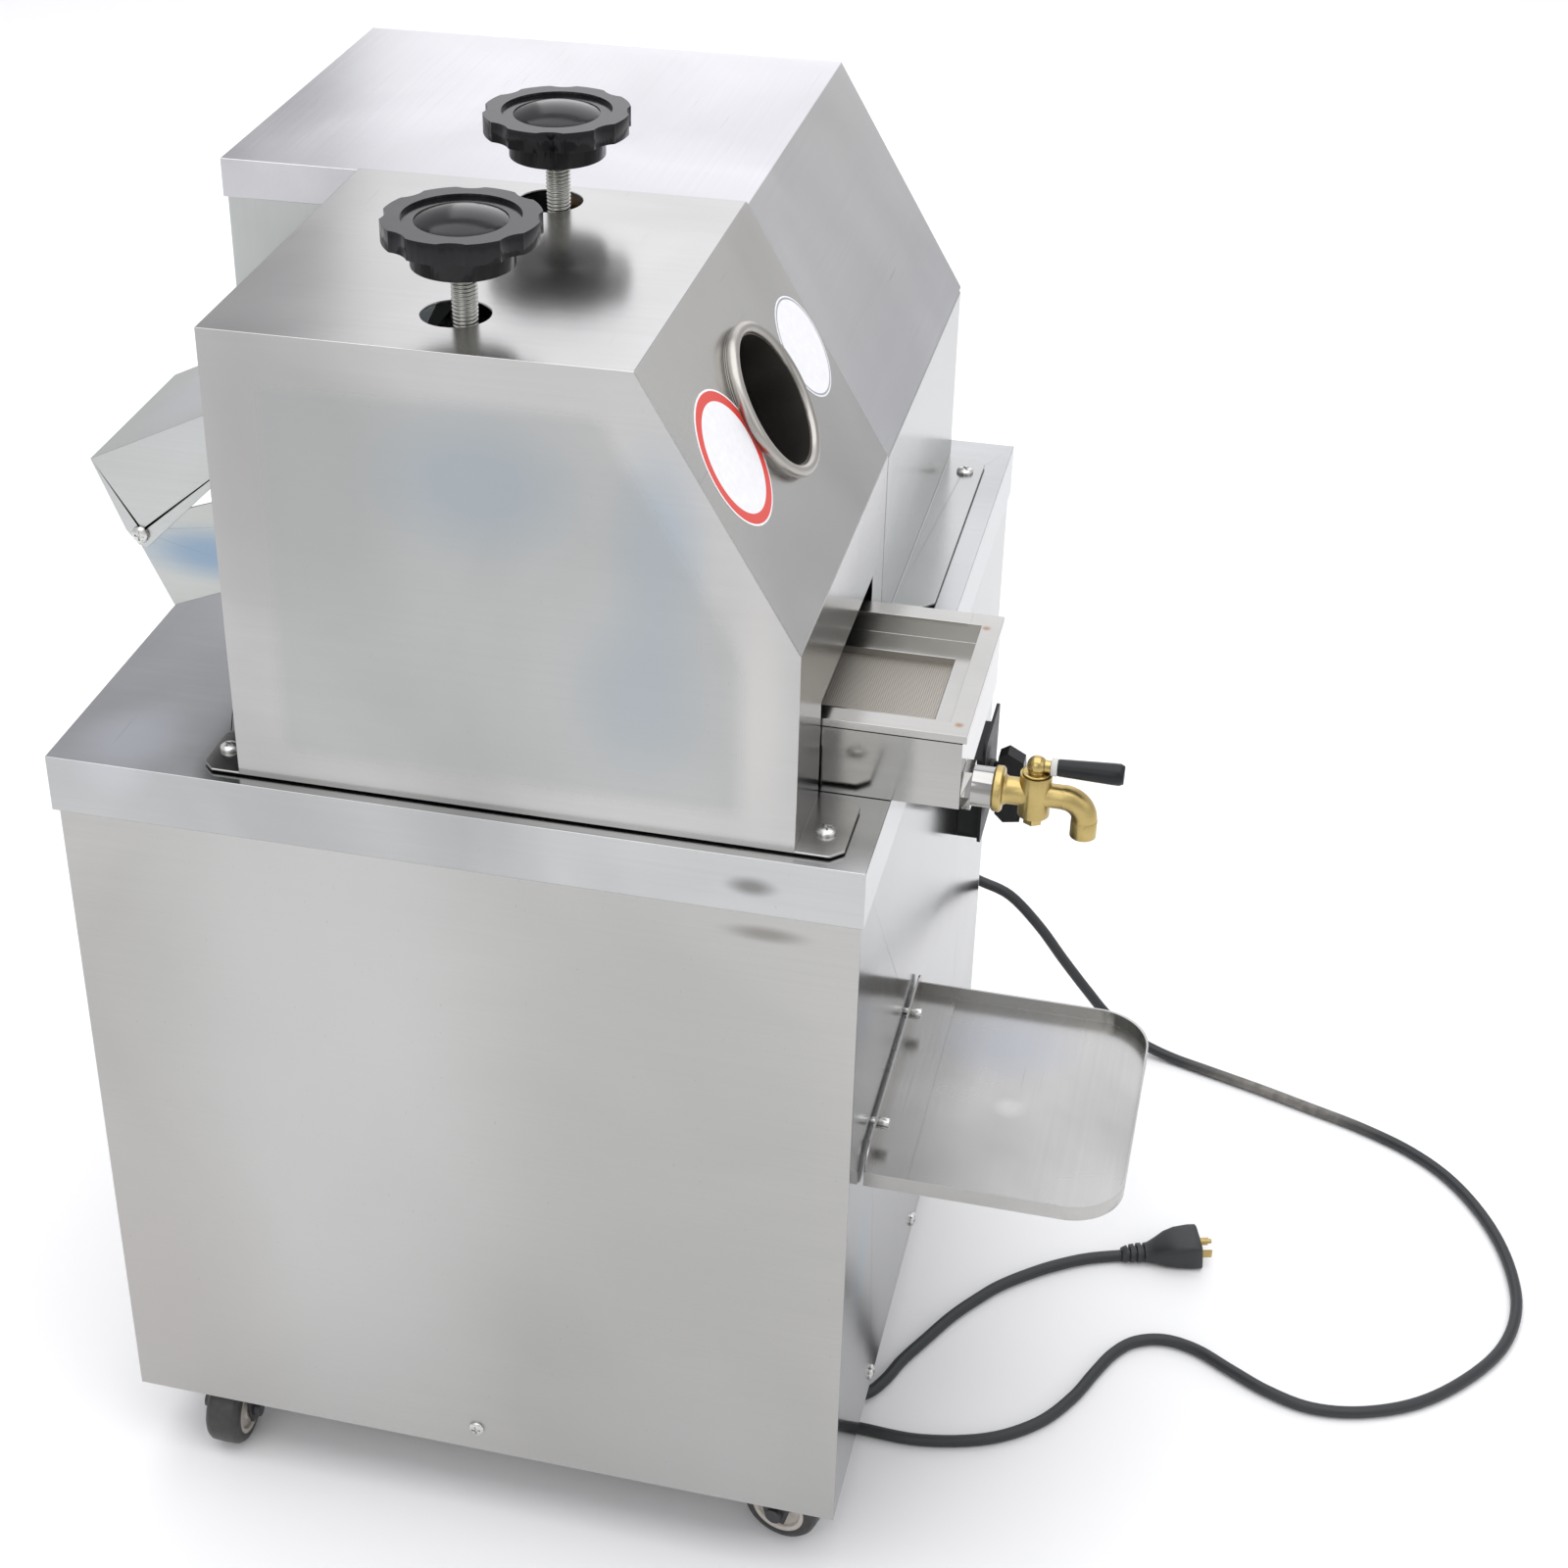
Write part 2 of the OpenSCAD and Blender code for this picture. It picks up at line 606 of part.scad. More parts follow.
// A gear's rest angle puts a tooth of one into a gap of the other along the line of centres
roller_line = atan2(low_dz, low_dy);
module front_gear() {
    color("gray") placed()
        gear(roller_teeth, roller_gear_x, gear_w, front_y, low_z, shaft_d / 2, roller_line);
}
module top_gear() {
    color("gray") placed() gear(roller_teeth, roller_gear_x, gear_w, top_y, top_z, shaft_d / 2, top_turn);
}
module rear_gear() {
    color("gray") placed() gear(roller_teeth, roller_gear_x, gear_w, rear_y, low_z, shaft_d / 2, rear_turn);
}
top_turn = roller_line + 180 + 180 / roller_teeth;
// the rear gear shows a gap or a tooth to suit what the top gear shows along their own line
top_phase = (top_turn + roller_line) * roller_teeth / 360;
rear_turn = 180 - roller_line - (top_phase - 0.5) * 360 / roller_teeth;

module bull_gear() {
    color("dimgray") placed()
        gear(bull_teeth, bull_x, gear_w, front_y, low_z, shaft_d / 2, drive_angle, 6);
}
module pinion() {
    color("gray") placed()
        gear(pinion_teeth, bull_x - 2, gear_w + 4, counter_y, counter_z, counter_d / 2,
            drive_angle + 180 + 180 / pinion_teeth);
}

module bearing_blocks() {
    color("slategray") placed() for (x = [left_cheek - 2, right_cheek]) difference() {
        translate([x, top_y - block_w / 2, top_z - block_h / 2 + gap])
            cube([cheek_t + 2, block_w, block_h]);
        rod_x(x - 1, x + cheek_t + 3, top_y, top_z, shaft_d / 2 + fit);
        rod_z(x < mill_x ? left_screw_x : right_screw_x, top_y, top_z + block_h / 2 - 5,
            top_z + block_h / 2 + 2, screw_d / 2 + fit);
    }
}

// ---------------------------------------------------------------- drive

module countershaft() { color("silver") placed() rod_x(284, 468, counter_y, counter_z, counter_d / 2); }

module v_pulley(y, z, r, bore_r, w = 24) {
    translate([pulley_x, y, z]) rotate([0, 90, 0]) rotate_extrude($fn = 96) difference() {
        translate([bore_r, -w / 2]) square([r + 6 - bore_r, w]);
        polygon([[r - 5, -5.2], [r + 7, -9], [r + 7, 9], [r - 5, 5.2]]);
        if (r > 50) for (s = [-1, 1]) translate([bore_r + 12, s > 0 ? 5 : -w / 2 - 1])
            square([r - bore_r - 28, w / 2 - 4]);
    }
}
module large_pulley() { color("dimgray") placed() v_pulley(counter_y, counter_z, large_r, counter_d / 2); }
module motor_pulley() { color("dimgray") placed() v_pulley(counter_y, motor_z, small_r, 9.5); }

// One pedestal bearing: x centre, shaft centre and bore
module pedestal(x, y, z, r) {
    difference() {
        union() {
            along_x(x - 11, 22) polygon([[y - 40, cap_z + 0.2], [y + 40, cap_z + 0.2],
                [y + 40, cap_z + 10], [y + 24, cap_z + 16], [y + 22, z], [y - 22, z],
                [y - 24, cap_z + 16], [y - 40, cap_z + 10]]);
            rod_x(x - 11, x + 11, y, z, r + 14);
        }
        rod_x(x - 13, x + 13, y, z, r + fit);
        for (s = [-1, 1]) rod_z(x, y + s * 32, cap_z, cap_z + 20, 4.5);
    }
}
module pillow_blocks() {
    color("seagreen") placed() {
        pedestal(334, front_y, low_z, shaft_d / 2);
        pedestal(352, counter_y, counter_z, counter_d / 2);
        pedestal(450, counter_y, counter_z, counter_d / 2);
    }
}

module motor() {
    y = counter_y;
    color("steelblue") placed() difference() {
        union() {
            rod_x(motor_x0 + 26, motor_x1 - 22, y, motor_z, motor_r - 7);
            for (i = [0:23]) translate([motor_x0 + 30, y, motor_z]) rotate([i * 15, 0, 0])
                translate([0, motor_r - 10, -1.2]) cube([motor_x1 - motor_x0 - 56, 10, 2.4]);
            rod_x(motor_x0, motor_x0 + 27, y, motor_z, motor_r - 2);
            rod_x(motor_x1 - 24, motor_x1, y, motor_z, motor_r - 3);
            for (x = [150, 250]) block([x, y - 65, base_z + 14.2], [x + 25, y + 65, motor_z - 40]);
            block([160, y - 32, motor_z + motor_r - 14], [240, y + 32, motor_z + motor_r + 26]);
        }
        rod_x(motor_x1 - 40, motor_x1 + 2, y, motor_z, 9.5 + fit);
    }
}
module motor_shaft() {
    color("silver") placed() rod_x(motor_x1 - 38, pulley_x + 16, counter_y, motor_z, 9.5);
}

// Belt loop: two arcs on the pulleys joined by straight runs
module drive_belt() {
    dz = counter_z - motor_z;
    lean = asin((large_r - small_r) / dz);
    function loop(grow) = concat(
        [for (i = [0:24]) let (a = -lean + (180 + 2 * lean) * i / 24)
            [counter_y + (large_r + grow) * cos(a), counter_z + (large_r + grow) * sin(a)]],
        [for (i = [0:16]) let (a = 180 + lean + (180 - 2 * lean) * i / 16)
            [counter_y + (small_r + grow) * cos(a), motor_z + (small_r + grow) * sin(a)]]);
    color("black") placed() difference() {
        along_x(pulley_x - 4.5, 9) polygon(loop(4.4));
        along_x(pulley_x - 6, 12) polygon(loop(-3.2));
    }
}

// ---------------------------------------------------------------- pressure screws

module pressure_screw(x) {
    rod_z(x, top_y, top_z + block_h / 2 - 4.5, knob_z - 12, screw_d / 2);
}

// Eight-lobed hand knob: lobed rim, hub below and a domed cap in a round recess
module hand_knob(x) {
    rim_h = 11;
    hub_h = 13.5;
    lobes = 8;
    translate([x, top_y, knob_z]) {
        difference() {
            union() {
                translate([0, 0, -rim_h]) linear_extrude(rim_h) difference() {
                    circle(r = knob_d / 2, $fn = 96);
                    for (i = [0:lobes - 1]) rotate(i * 360 / lobes + 11)
                        translate([knob_d / 2 + 12.6, 0]) circle(r = 15, $fn = 48);
                }
                translate([0, 0, -rim_h - hub_h]) cylinder(h = hub_h + 0.5, r = 26.3);
            }
            translate([0, 0, -2]) cylinder(h = 3, r = 30);
            translate([0, 0, -rim_h - hub_h - 1]) cylinder(h = 14, r = screw_d / 2);
        }
        rotate_extrude() intersection() {
            translate([0, -56]) circle(r = 59, $fn = 128);
            translate([0, -2]) square([23.5, 8]);
        }
    }
}
module left_screw() { color("silver") placed() pressure_screw(left_screw_x); }
module right_screw() { color("silver") placed() pressure_screw(right_screw_x); }
module left_knob() { color([0.08, 0.08, 0.09]) placed() hand_knob(left_screw_x); }
module right_knob() { color([0.08, 0.08, 0.09]) placed() hand_knob(right_screw_x); }

// ---------------------------------------------------------------- juice tray and tap

module juice_tray() {
    y1 = tray_y0 + tray_len;
    z1 = tray_z + tray_h;
    color("lightgray") placed() difference() {
        union() {
            difference() {
                block([tray_x0, tray_y0, tray_z], [tray_x1, y1, z1]);
                block([tray_x0 + sheet, tray_y0 + sheet, tray_z + sheet],
                    [tray_x1 - sheet, y1 - sheet, z1 + 1]);
            }
            // folded hems along the side walls, and the ledge for the strainer's far side
            block([tray_x0 - 1.3, tray_y0, z1 - 12], [tray_x0 + 0.1, y1, z1]);
            block([tray_x1 - 5, tray_y0, z1 - 1.2], [tray_x1 + 3.4, y1, z1]);
            block([tray_x1 + 2.2, tray_y0, z1 - 8], [tray_x1 + 3.4, y1, z1]);
            // threaded nipple and its lock ring
            rod_y(tap_x, tray_y0 - 16, tray_y0 + 0.5, tap_z, 11);
            translate([tap_x, tray_y0 - 0.2, tap_z]) rotate([90, 0, 0]) cylinder(h = 5, r = 13.5, $fn = 6);
        }
        rod_y(tap_x, tray_y0 - 20, tray_y0 + 3, tap_z, 6);
        // the nipple does not reach below the tray's floor inside the cap's outline
        block([tap_x - 20, tray_y0 + 0.02, tray_z - 20], [tap_x + 20, tray_y0 + 5, tray_z]);
    }
}

// Drop-in strainer: folded flange on the tray's edges, stepped well and a mesh floor
well_x0 = strainer_x0 + 12;
well_x1 = strainer_x0 + strainer_w - 12;
well_y0 = tray_y0 + 8;
well_y1 = tray_y0 - 2 + strainer_len - 10;
mesh_x0 = well_x0 + 22;
mesh_x1 = well_x1 - 21;
mesh_y0 = well_y0 + 12;
mesh_y1 = well_y1 - 12;
module strainer_frame() {
    t = 1;
    fold = 4.6;
    y0 = tray_y0 - 2;
    y1 = y0 + strainer_len;
    x1 = strainer_x0 + strainer_w;
    color("gainsboro") placed() difference() {
        union() {
            difference() {
                block([strainer_x0, y0, strainer_z], [x1, y1, strainer_z + fold]);
                block([strainer_x0 + t, y0 + t, strainer_z - 1], [x1 - t, y1 + 1, strainer_z + fold - t]);
            }
            block([well_x0, well_y0, strainer_z - 8.5], [well_x1, well_y1, strainer_z + fold]);
            block([mesh_x0 - t, mesh_y0 - t, strainer_z - 13.5], [mesh_x1 + t, mesh_y1 + t, strainer_z - 8]);
        }
        block([well_x0 + t, well_y0 + t, strainer_z - 7.5],
            [well_x1 - t, well_y1 - t, strainer_z + fold + 1]);
        block([mesh_x0, mesh_y0, strainer_z - 14], [mesh_x1, mesh_y1, strainer_z]);
    }
}
module strainer_mesh() {
    color("darkgray") placed() block([mesh_x0 + 0.05, mesh_y0 + 0.05, strainer_z - 13],
        [mesh_x1 - 0.05, mesh_y1 - 0.05, strainer_z - 12.3]);
}

// Plug tap: flange, neck and barrel, with a spout that bends down
spout_bend = 12;
spout_reach = 27;
spout_low = 22;
module tap_body() {
    color("goldenrod") placed() difference() {
        union() {
            translate([tap_x, tray_y0 - 16.1, tap_z]) rotate([90, 0, 0]) rotate_extrude() polygon([[0, 0],
                [11.5, 0], [12.5, 1], [12.5, 4.2], [11.5, 5.2], [8.6, 5.6], [7.5, 7.5], [7.5, 10],
                [7.5, 21.9], [0, 21.9]]);
            rod_z(tap_x, tap_y, tap_z - 12.5, tap_z + 12.5, 8.5);
            translate([tap_x, tap_y, tap_z]) {
                rotate([90, 0, 0]) cylinder(h = spout_reach - spout_bend, r = 6.6);
                translate([0, spout_bend - spout_reach, -spout_bend]) rotate([90, 0, -90])
                    rotate_extrude(angle = 90) translate([spout_bend, 0]) circle(r = 6.8, $fn = 48);
                translate([0, -spout_reach, -spout_low]) cylinder(h = spout_low - spout_bend, r = 7);
            }
        }
        rod_z(tap_x, tap_y, tap_z - 14, tap_z + 14, 5.5);
        rod_y(tap_x, tap_y, tray_y0 - 10, tap_z, 4.5);
        translate([tap_x, tap_y - spout_reach, tap_z - spout_low - 1])
            cylinder(h = spout_low - spout_bend, r = spout_bore_r);
    }
}

// Plug with a ball head above the barrel and a retaining nut under it
handle_z = 17.6;
module tap_plug() {
    color("gold") placed() translate([tap_x, tap_y, tap_z]) union() {
        rotate_extrude() polygon([[0, -19], [2.6, -19], [2.6, -13.4], [7, -13.4], [7, -12.9],
            [5.5 - fit, -12.8], [5.5 - fit, 12.9], [7.4, 12.9], [7.4, 13.7], [4.6, 14.2], [4.2, 15],
            [0, 15]]);
        translate([0, 0, -17.6]) cylinder(h = 4.3, r = 5.4, $fn = 6);
        translate([0, 0, handle_z]) sphere(r = 5.4);
        translate([0, 0, handle_z]) rotate([89, 0, 0]) cylinder(h = 7.4, r = 3.4);
    }
}
module tap_handle() {
    color([0.09, 0.09, 0.1]) placed() translate([tap_x, tap_y, tap_z + handle_z]) rotate([89, 0, 0])
        rotate_extrude() polygon([[0, 7.45], [4.6, 7.45], [4.9, 8], [4.9, 10.4], [4.5, 10.8], [4.7, 12],
            [5.9, 40], [5.9, 43.4], [4.9, 45.5], [0, 45.5]]);
}

// ---------------------------------------------------------------- discharge chute

edge_dir = (chute_tip - duct_end) / norm(chute_tip - duct_end);
duct_top_back = duct_end + edge_dir * 54;
duct_slope = 0.4;
hood_slope = 0.48;
hood_front_y = roller_back + 2.5;
hood_low_front = pivot[1] - 4 + 0.947 * (pivot[0] - 4 - hood_front_y);

module discharge_duct() {
    front_low = duct_end[1] + duct_slope * (duct_end[0] - duct_in_y);
    front_high = duct_top_back[1] + 0.47 * (duct_top_back[0] - duct_in_y) - 14;
    color("silver") placed() difference() {
        union() {
            along_x(duct_x0, duct_x1 - duct_x0) polygon([duct_end, duct_top_back,
                [duct_in_y, front_high], [duct_in_y, front_low]]);
            for (x = [60, duct_x1 - 2]) block([x, roller_back + 0.3, cap_z + 85],
                [x + (x < 100 ? duct_x0 - 58 : 24), roller_back + 0.3 + sheet, cap_z + 115]);
        }
        along_x(duct_x0 + sheet, duct_x1 - duct_x0 - 2 * sheet) polygon([
            duct_end + [20, -20 * duct_slope / 1 + sheet], duct_top_back + [40, 40],
            [duct_in_y - 1, front_high + 60], [duct_in_y - 1, front_low + sheet + 0.5]]);
        for (x = [70, 206]) rod_y(x, roller_back - 2, roller_back + 4, cap_z + 100, 2.1);
        rod_x(duct_x0 - 2, duct_x1 + 2, pivot[0], pivot[1], 2.5);
    }
}

module chute_hood() {
    top_front = [hood_front_y, chute_tip[1] + hood_slope * (chute_tip[0] - hood_front_y)];
    back_low = pivot + [2, -7];
    color("silver") placed() difference() {
        along_x(hood_x0, hood_x1 - hood_x0) polygon([chute_tip, top_front,
            [hood_front_y, hood_low_front], pivot + [-7, -4], pivot + [-3, -8], back_low,
            pivot + edge_dir * 8 + [5.5, -6]]);
        along_x(hood_x0 + sheet, hood_x1 - hood_x0 - 2 * sheet) polygon([
            chute_tip + [10, -10 * hood_slope - sheet * 1.2],
            top_front + [-10, 10 * hood_slope - sheet * 1.2],
            [hood_front_y - 10, hood_low_front - 60], [pivot[0], pivot[1] - 60],
            [pivot[0] + 60, pivot[1] - 40]]);
        rod_x(hood_x0 - 2, hood_x1 + 2, pivot[0], pivot[1], 2.45 + fit);
    }
}

// ---------------------------------------------------------------- cup shelf

bolt_xs = [shelf_x0 + 40, shelf_x0 + shelf_w - 40];
shelf_bolt_z = shelf_z + 15;

// Shelf outline: square at the cabinet, round at the two outer corners
module shelf_outline(inset) {
    r = shelf_corner;
    x0 = shelf_x0 + inset;
    x1 = shelf_x0 + shelf_w - inset;
    yo = -shelf_reach + inset;
    union() {
        translate([x0, yo + r]) square([x1 - x0, -yo - r - 0.2]);
        translate([x0 + r, yo]) square([x1 - x0 - 2 * r, r + 1]);
        for (x = [x0 + r, x1 - r]) translate([x, yo + r]) circle(r = r - 0.001, $fn = 96);
    }
}
module cup_shelf() {
    color("gainsboro") placed() {
        difference() {
            union() {
                translate([0, 0, shelf_z]) linear_extrude(sheet) shelf_outline(0);
                translate([0, 0, shelf_z]) linear_extrude(shelf_rim) difference() {
                    shelf_outline(0);
                    shelf_outline(sheet);
                }
                block([shelf_x0, -1.4, shelf_z], [shelf_x0 + shelf_w, -0.2, shelf_z + shelf_rim]);
                round_flange(shelf_x0, shelf_x0 + shelf_w, -1.4, shelf_z, shelf_z + 22, 14);
            }
            for (x = bolt_xs) rod_y(x, -3, 3, shelf_bolt_z, 3.2);
        }
        // stiffening angle on the plate, behind the cups
        block([shelf_x0 + sheet, -24, shelf_z + sheet],
            [shelf_x0 + shelf_w - sheet, -1.4, shelf_z + 2 * sheet]);
    }
}
// Upright plate with its two upper corners rounded
module round_flange(x0, x1, y0, z0, z1, r) {
    along_y(y0, sheet) union() {
        translate([x0, z0]) square([x1 - x0, z1 - z0 - r]);
        translate([x0 + r, z0]) square([x1 - x0 - 2 * r, z1 - z0]);
        for (x = [x0 + r, x1 - r]) translate([x, z1 - r]) circle(r = r);
    }
}
module shelf_bolts() {
    color("silver") placed() for (x = bolt_xs) {
        rod_y(x, -1.6, 8, shelf_bolt_z, 3);
        rod_y(x, -7.5, -1.5, shelf_bolt_z, 3.6);
        translate([x, 7, shelf_bolt_z]) rotate([90, 0, 0]) cylinder(h = 4, r = 5.5, $fn = 6);
    }
}

// ---------------------------------------------------------------- switch

module switch_box() {
    color([0.1, 0.1, 0.11]) placed() difference() {
        union() {
            along_y(-13, 14.3) round_square(switch_x - 30, switch_z - 30, 60, 60, 5);
            along_y(-14.5, 2) round_square(switch_x - 32, switch_z - 32, 64, 76, 6);
            rod_y(switch_x, -17, -14, switch_z, 15);
            rod_y(switch_x, 1, 40, switch_z, 8.6);
        }
        rod_y(switch_x, -19, 20, switch_z, 5 + fit);
    }
}
module round_square(x, y, w, h, r) {
    union() {
        translate([x + r, y]) square([w - 2 * r, h]);
        translate([x, y + r]) square([w, h - 2 * r]);
        for (a = [x + r, x + w - r], b = [y + r, y + h - r]) translate([a, b]) circle(r = r, $fn = 32);
    }
}
module switch_lever() {
    color([0.07, 0.07, 0.08]) placed() {
        union() {
            rod_y(switch_x, -18, 14, switch_z, 5);
            rod_y(switch_x, -24, -17.4, switch_z, 13.5);
            along_x(switch_x - 6, 12) polygon([[-20, switch_z - 22], [-20, switch_z + 22],
                [-26, switch_z + 26], [-37, switch_z + 20], [-39, switch_z], [-37, switch_z - 26],
                [-26, switch_z - 28]]);
        }
    }
}

// ---------------------------------------------------------------- cord and plug

module cord_gland() {
    color([0.07, 0.07, 0.07]) placed() translate([cab_w - skin_in, gland_y, gland_z]) rotate([0, 90, 0])
        rotate_extrude() polygon([[cord_d / 2 - 0.1, -10], [8, -10], [8, -0.1], [8, 0.1], [12, 0.1],
            [12, 3], [9, 4], [8.4, 7], [6, 10.5], [cord_d / 2 - 0.1, 10.5]]);
}

// Smooth curve through the cord's points (Catmull-Rom), sampled evenly in its own parameter
function on_curve(p, t) = let (n = len(p) - 1, i = min(n - 1, floor(t)), u = t - i,
    a = p[max(0, i - 1)], b = p[i], c = p[i + 1], d = p[min(n, i + 2)])
    0.5 * (2 * b + (c - a) * u + (2 * a - 5 * b + 4 * c - d) * u * u + (3 * b - a - 3 * c + d) * u * u * u);
function unit(v) = v / norm(v);
function heading(p, t) = unit(on_curve(p, t + 0.02) - on_curve(p, t - 0.02));

module power_cord() {
    sides = 8;
    last = len(cord_points) - 1;
    ts = [for (i = [0:cord_rings - 1]) i * last / (cord_rings - 1)];
    rings = [for (t = ts) let (c = on_curve(cord_points, t),
        h = heading(cord_points, max(0.02, min(last - 0.02, t))),
        s = unit(cross(h, [0, 0, 1])), v = cross(s, h))
        for (k = [0:sides - 1]) let (a = 360 / sides * (k + 0.5))
            c + cord_d / 2 * (cos(a) * s + sin(a) * v)];
    faces = concat([[for (k = [0:sides - 1]) k]],
        [for (i = [0:cord_rings - 2], k = [0:sides - 1]) let (a = i * sides + k,
            b = i * sides + (k + 1) % sides) [a, a + sides, b + sides, b]],
        [[for (k = [sides - 1:-1:0]) (cord_rings - 1) * sides + k]]);
    color([0.07, 0.07, 0.08]) placed() polyhedron(points = rings, faces = faces, convexity = 10);
}

// Moulded two-blade plug with an earth pin and a ribbed strain relief, lying on the floor
module plug() {
    end = cord_points[len(cord_points) - 1];
    half = cord_d / 2;
    color([0.06, 0.06, 0.06]) placed() translate([end[0], end[1], lie]) rotate([0, 0, plug_angle]) {
        rotate([0, 90, 0]) rotate_extrude() polygon([[0, 0], [half + 1.4, 0], [half + 2.4, 4],
            [half + 1.2, 4.6], [half + 1.2, 5.6], [half + 2.8, 6.2], [half + 3.1, 9], [half + 1.8, 9.6],
            [half + 1.8, 10.6], [half + 3.3, 11.2], [half + 3.5, 14], [half + 2.2, 14.6],
            [half + 2.2, 15.6], [half + 3.4, 16.2], [half + 3.4, 20], [0, 24]]);
        translate([16, 0, -half + 0.05]) difference() {
            linear_extrude(22) polygon([[0, -6.5], [18, -12.6], [39, -14], [39, 14], [18, 12.6], [0, 6.5]]);
            translate([-5, -20, 13]) rotate([0, -20, 0]) cube([34, 40, 16]);
        }
        for (s = [-1, 1]) translate([54.8, s * 6.3 - 0.8, 4]) cube([8, 1.6, 6.3]);
        translate([54.8, 0, 13.5]) rotate([0, 90, 0]) cylinder(h = 8.5, r = 2.3);
    }
}

// ---------------------------------------------------------------- casters

caster_seat = base_z - 1.5;
module caster_plates() {
    color("silver") placed() for (s = swivels) difference() {
        union() {
            round_plate([s[0] - 27, s[1] - 24, caster_seat - 2.2],
                [s[0] + 27, s[1] + 24, caster_seat - 0.1], 5);
            rod_z(s[0], s[1], caster_seat - 7, caster_seat - 2, 19);
            for (dx = [-20, 20], dy = [-17, 17]) translate([s[0] + dx, s[1] + dy, caster_seat - 5])
                cylinder(h = 3, r = 5, $fn = 6);
        }
        rod_z(s[0], s[1], caster_seat - 8, caster_seat + 1, 4 + fit);
    }
}

// Pressed fork with its kingpin and axle, trailing along +x before it is turned to its rest angle
module caster_fork(s) {
    crown_z = caster_seat - 7.4;
    plate_t = 2.4;
    half = wheel_w / 2 + 1.2;
    placed() translate([s[0], s[1], 0]) rotate([0, 0, s[2]]) {
        union() {
            rod_z(0, 0, crown_z - 3, caster_seat - 1, 4);
            rod_z(0, 0, crown_z - 3, crown_z, 18);
            translate([-4, -half - plate_t, crown_z - 3]) cube([26, 2 * (half + plate_t), 3]);
            for (y = [-half - plate_t, half]) translate([0, y + plate_t, 0]) rotate([90, 0, 0])
                linear_extrude(plate_t) polygon([[-10, crown_z], [24, crown_z], [trail + 9, axle_z + 4],
                    [trail + 6, axle_z - 7], [trail - 6, axle_z - 7], [trail - 9, axle_z + 3]]);
            translate([trail, half + plate_t + 2, axle_z]) rotate([90, 0, 0])
                cylinder(h = 2 * (half + plate_t + 2), r = 3);
            for (y = [-half - plate_t - 3.4, half + plate_t]) translate([trail, y + 3.4, axle_z])
                rotate([90, 0, 0]) cylinder(h = 3.4, r = 5.2);
        }
    }
}
module caster_wheel(s) {
    r = wheel_d / 2;
    w = wheel_w / 2;
    placed() translate([s[0], s[1], 0]) rotate([0, 0, s[2]]) translate([trail, 0, axle_z]) rotate([90, 0, 0])
        rotate_extrude($fn = 96) polygon([[3 + fit, -w], [8, -w], [8.5, -w + 3], [14, -w + 3],
            [14.5, -w + 0.5], [r - 5, -w + 0.5], [r - 2, -w + 1.5], [r - 0.4, -w + 4], [r, 0],
            [r - 0.4, w - 4], [r - 2, w - 1.5], [r - 5, w - 0.5], [14.5, w - 0.5], [14, w - 3],
            [8.5, w - 3], [8, w], [3 + fit, w]]);
}
module caster_fork_fl() { color("darkslategray") caster_fork(swivels[0]); }
module caster_fork_fr() { color("darkslategray") caster_fork(swivels[1]); }
module caster_fork_bl() { color("darkslategray") caster_fork(swivels[2]); }
module caster_fork_br() { color("darkslategray") caster_fork(swivels[3]); }
module caster_wheel_fl() { color([0.1, 0.1, 0.1]) caster_wheel(swivels[0]); }
module caster_wheel_fr() { color([0.1, 0.1, 0.1]) caster_wheel(swivels[1]); }
module caster_wheel_bl() { color([0.1, 0.1, 0.1]) caster_wheel(swivels[2]); }
module caster_wheel_br() { color([0.1, 0.1, 0.1]) caster_wheel(swivels[3]); }

base_frame();
bottom_plate();
front_panel();
left_panel();
right_panel();
back_panel();
top_cap();
pan_screws();
roller_cover();
gear_housing();
gear_lid();
feed_collar();
cheek_plates();
tie_rods();
bushes();
scrapers();
pillow_blocks();
motor();
drive_belt();
discharge_duct();
cup_shelf();
shelf_bolts();
switch_box();
cord_gland();
power_cord();
plug();
caster_plates();
front_roller();
front_gear();
bull_gear();
rear_roller();
rear_gear();
top_roller();
top_gear();
bearing_blocks();
countershaft();
pinion();
large_pulley();
motor_shaft();
motor_pulley();
left_screw();
left_knob();
right_screw();
right_knob();
juice_tray();
strainer_frame();
strainer_mesh();
tap_body();
tap_plug();
tap_handle();
chute_hood();
switch_lever();
caster_fork_fl();
caster_wheel_fl();
caster_fork_fr();
caster_wheel_fr();
caster_fork_bl();
caster_wheel_bl();
caster_fork_br();
caster_wheel_br();
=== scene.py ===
import bpy
import bmesh
import math
from mathutils import Matrix, Vector


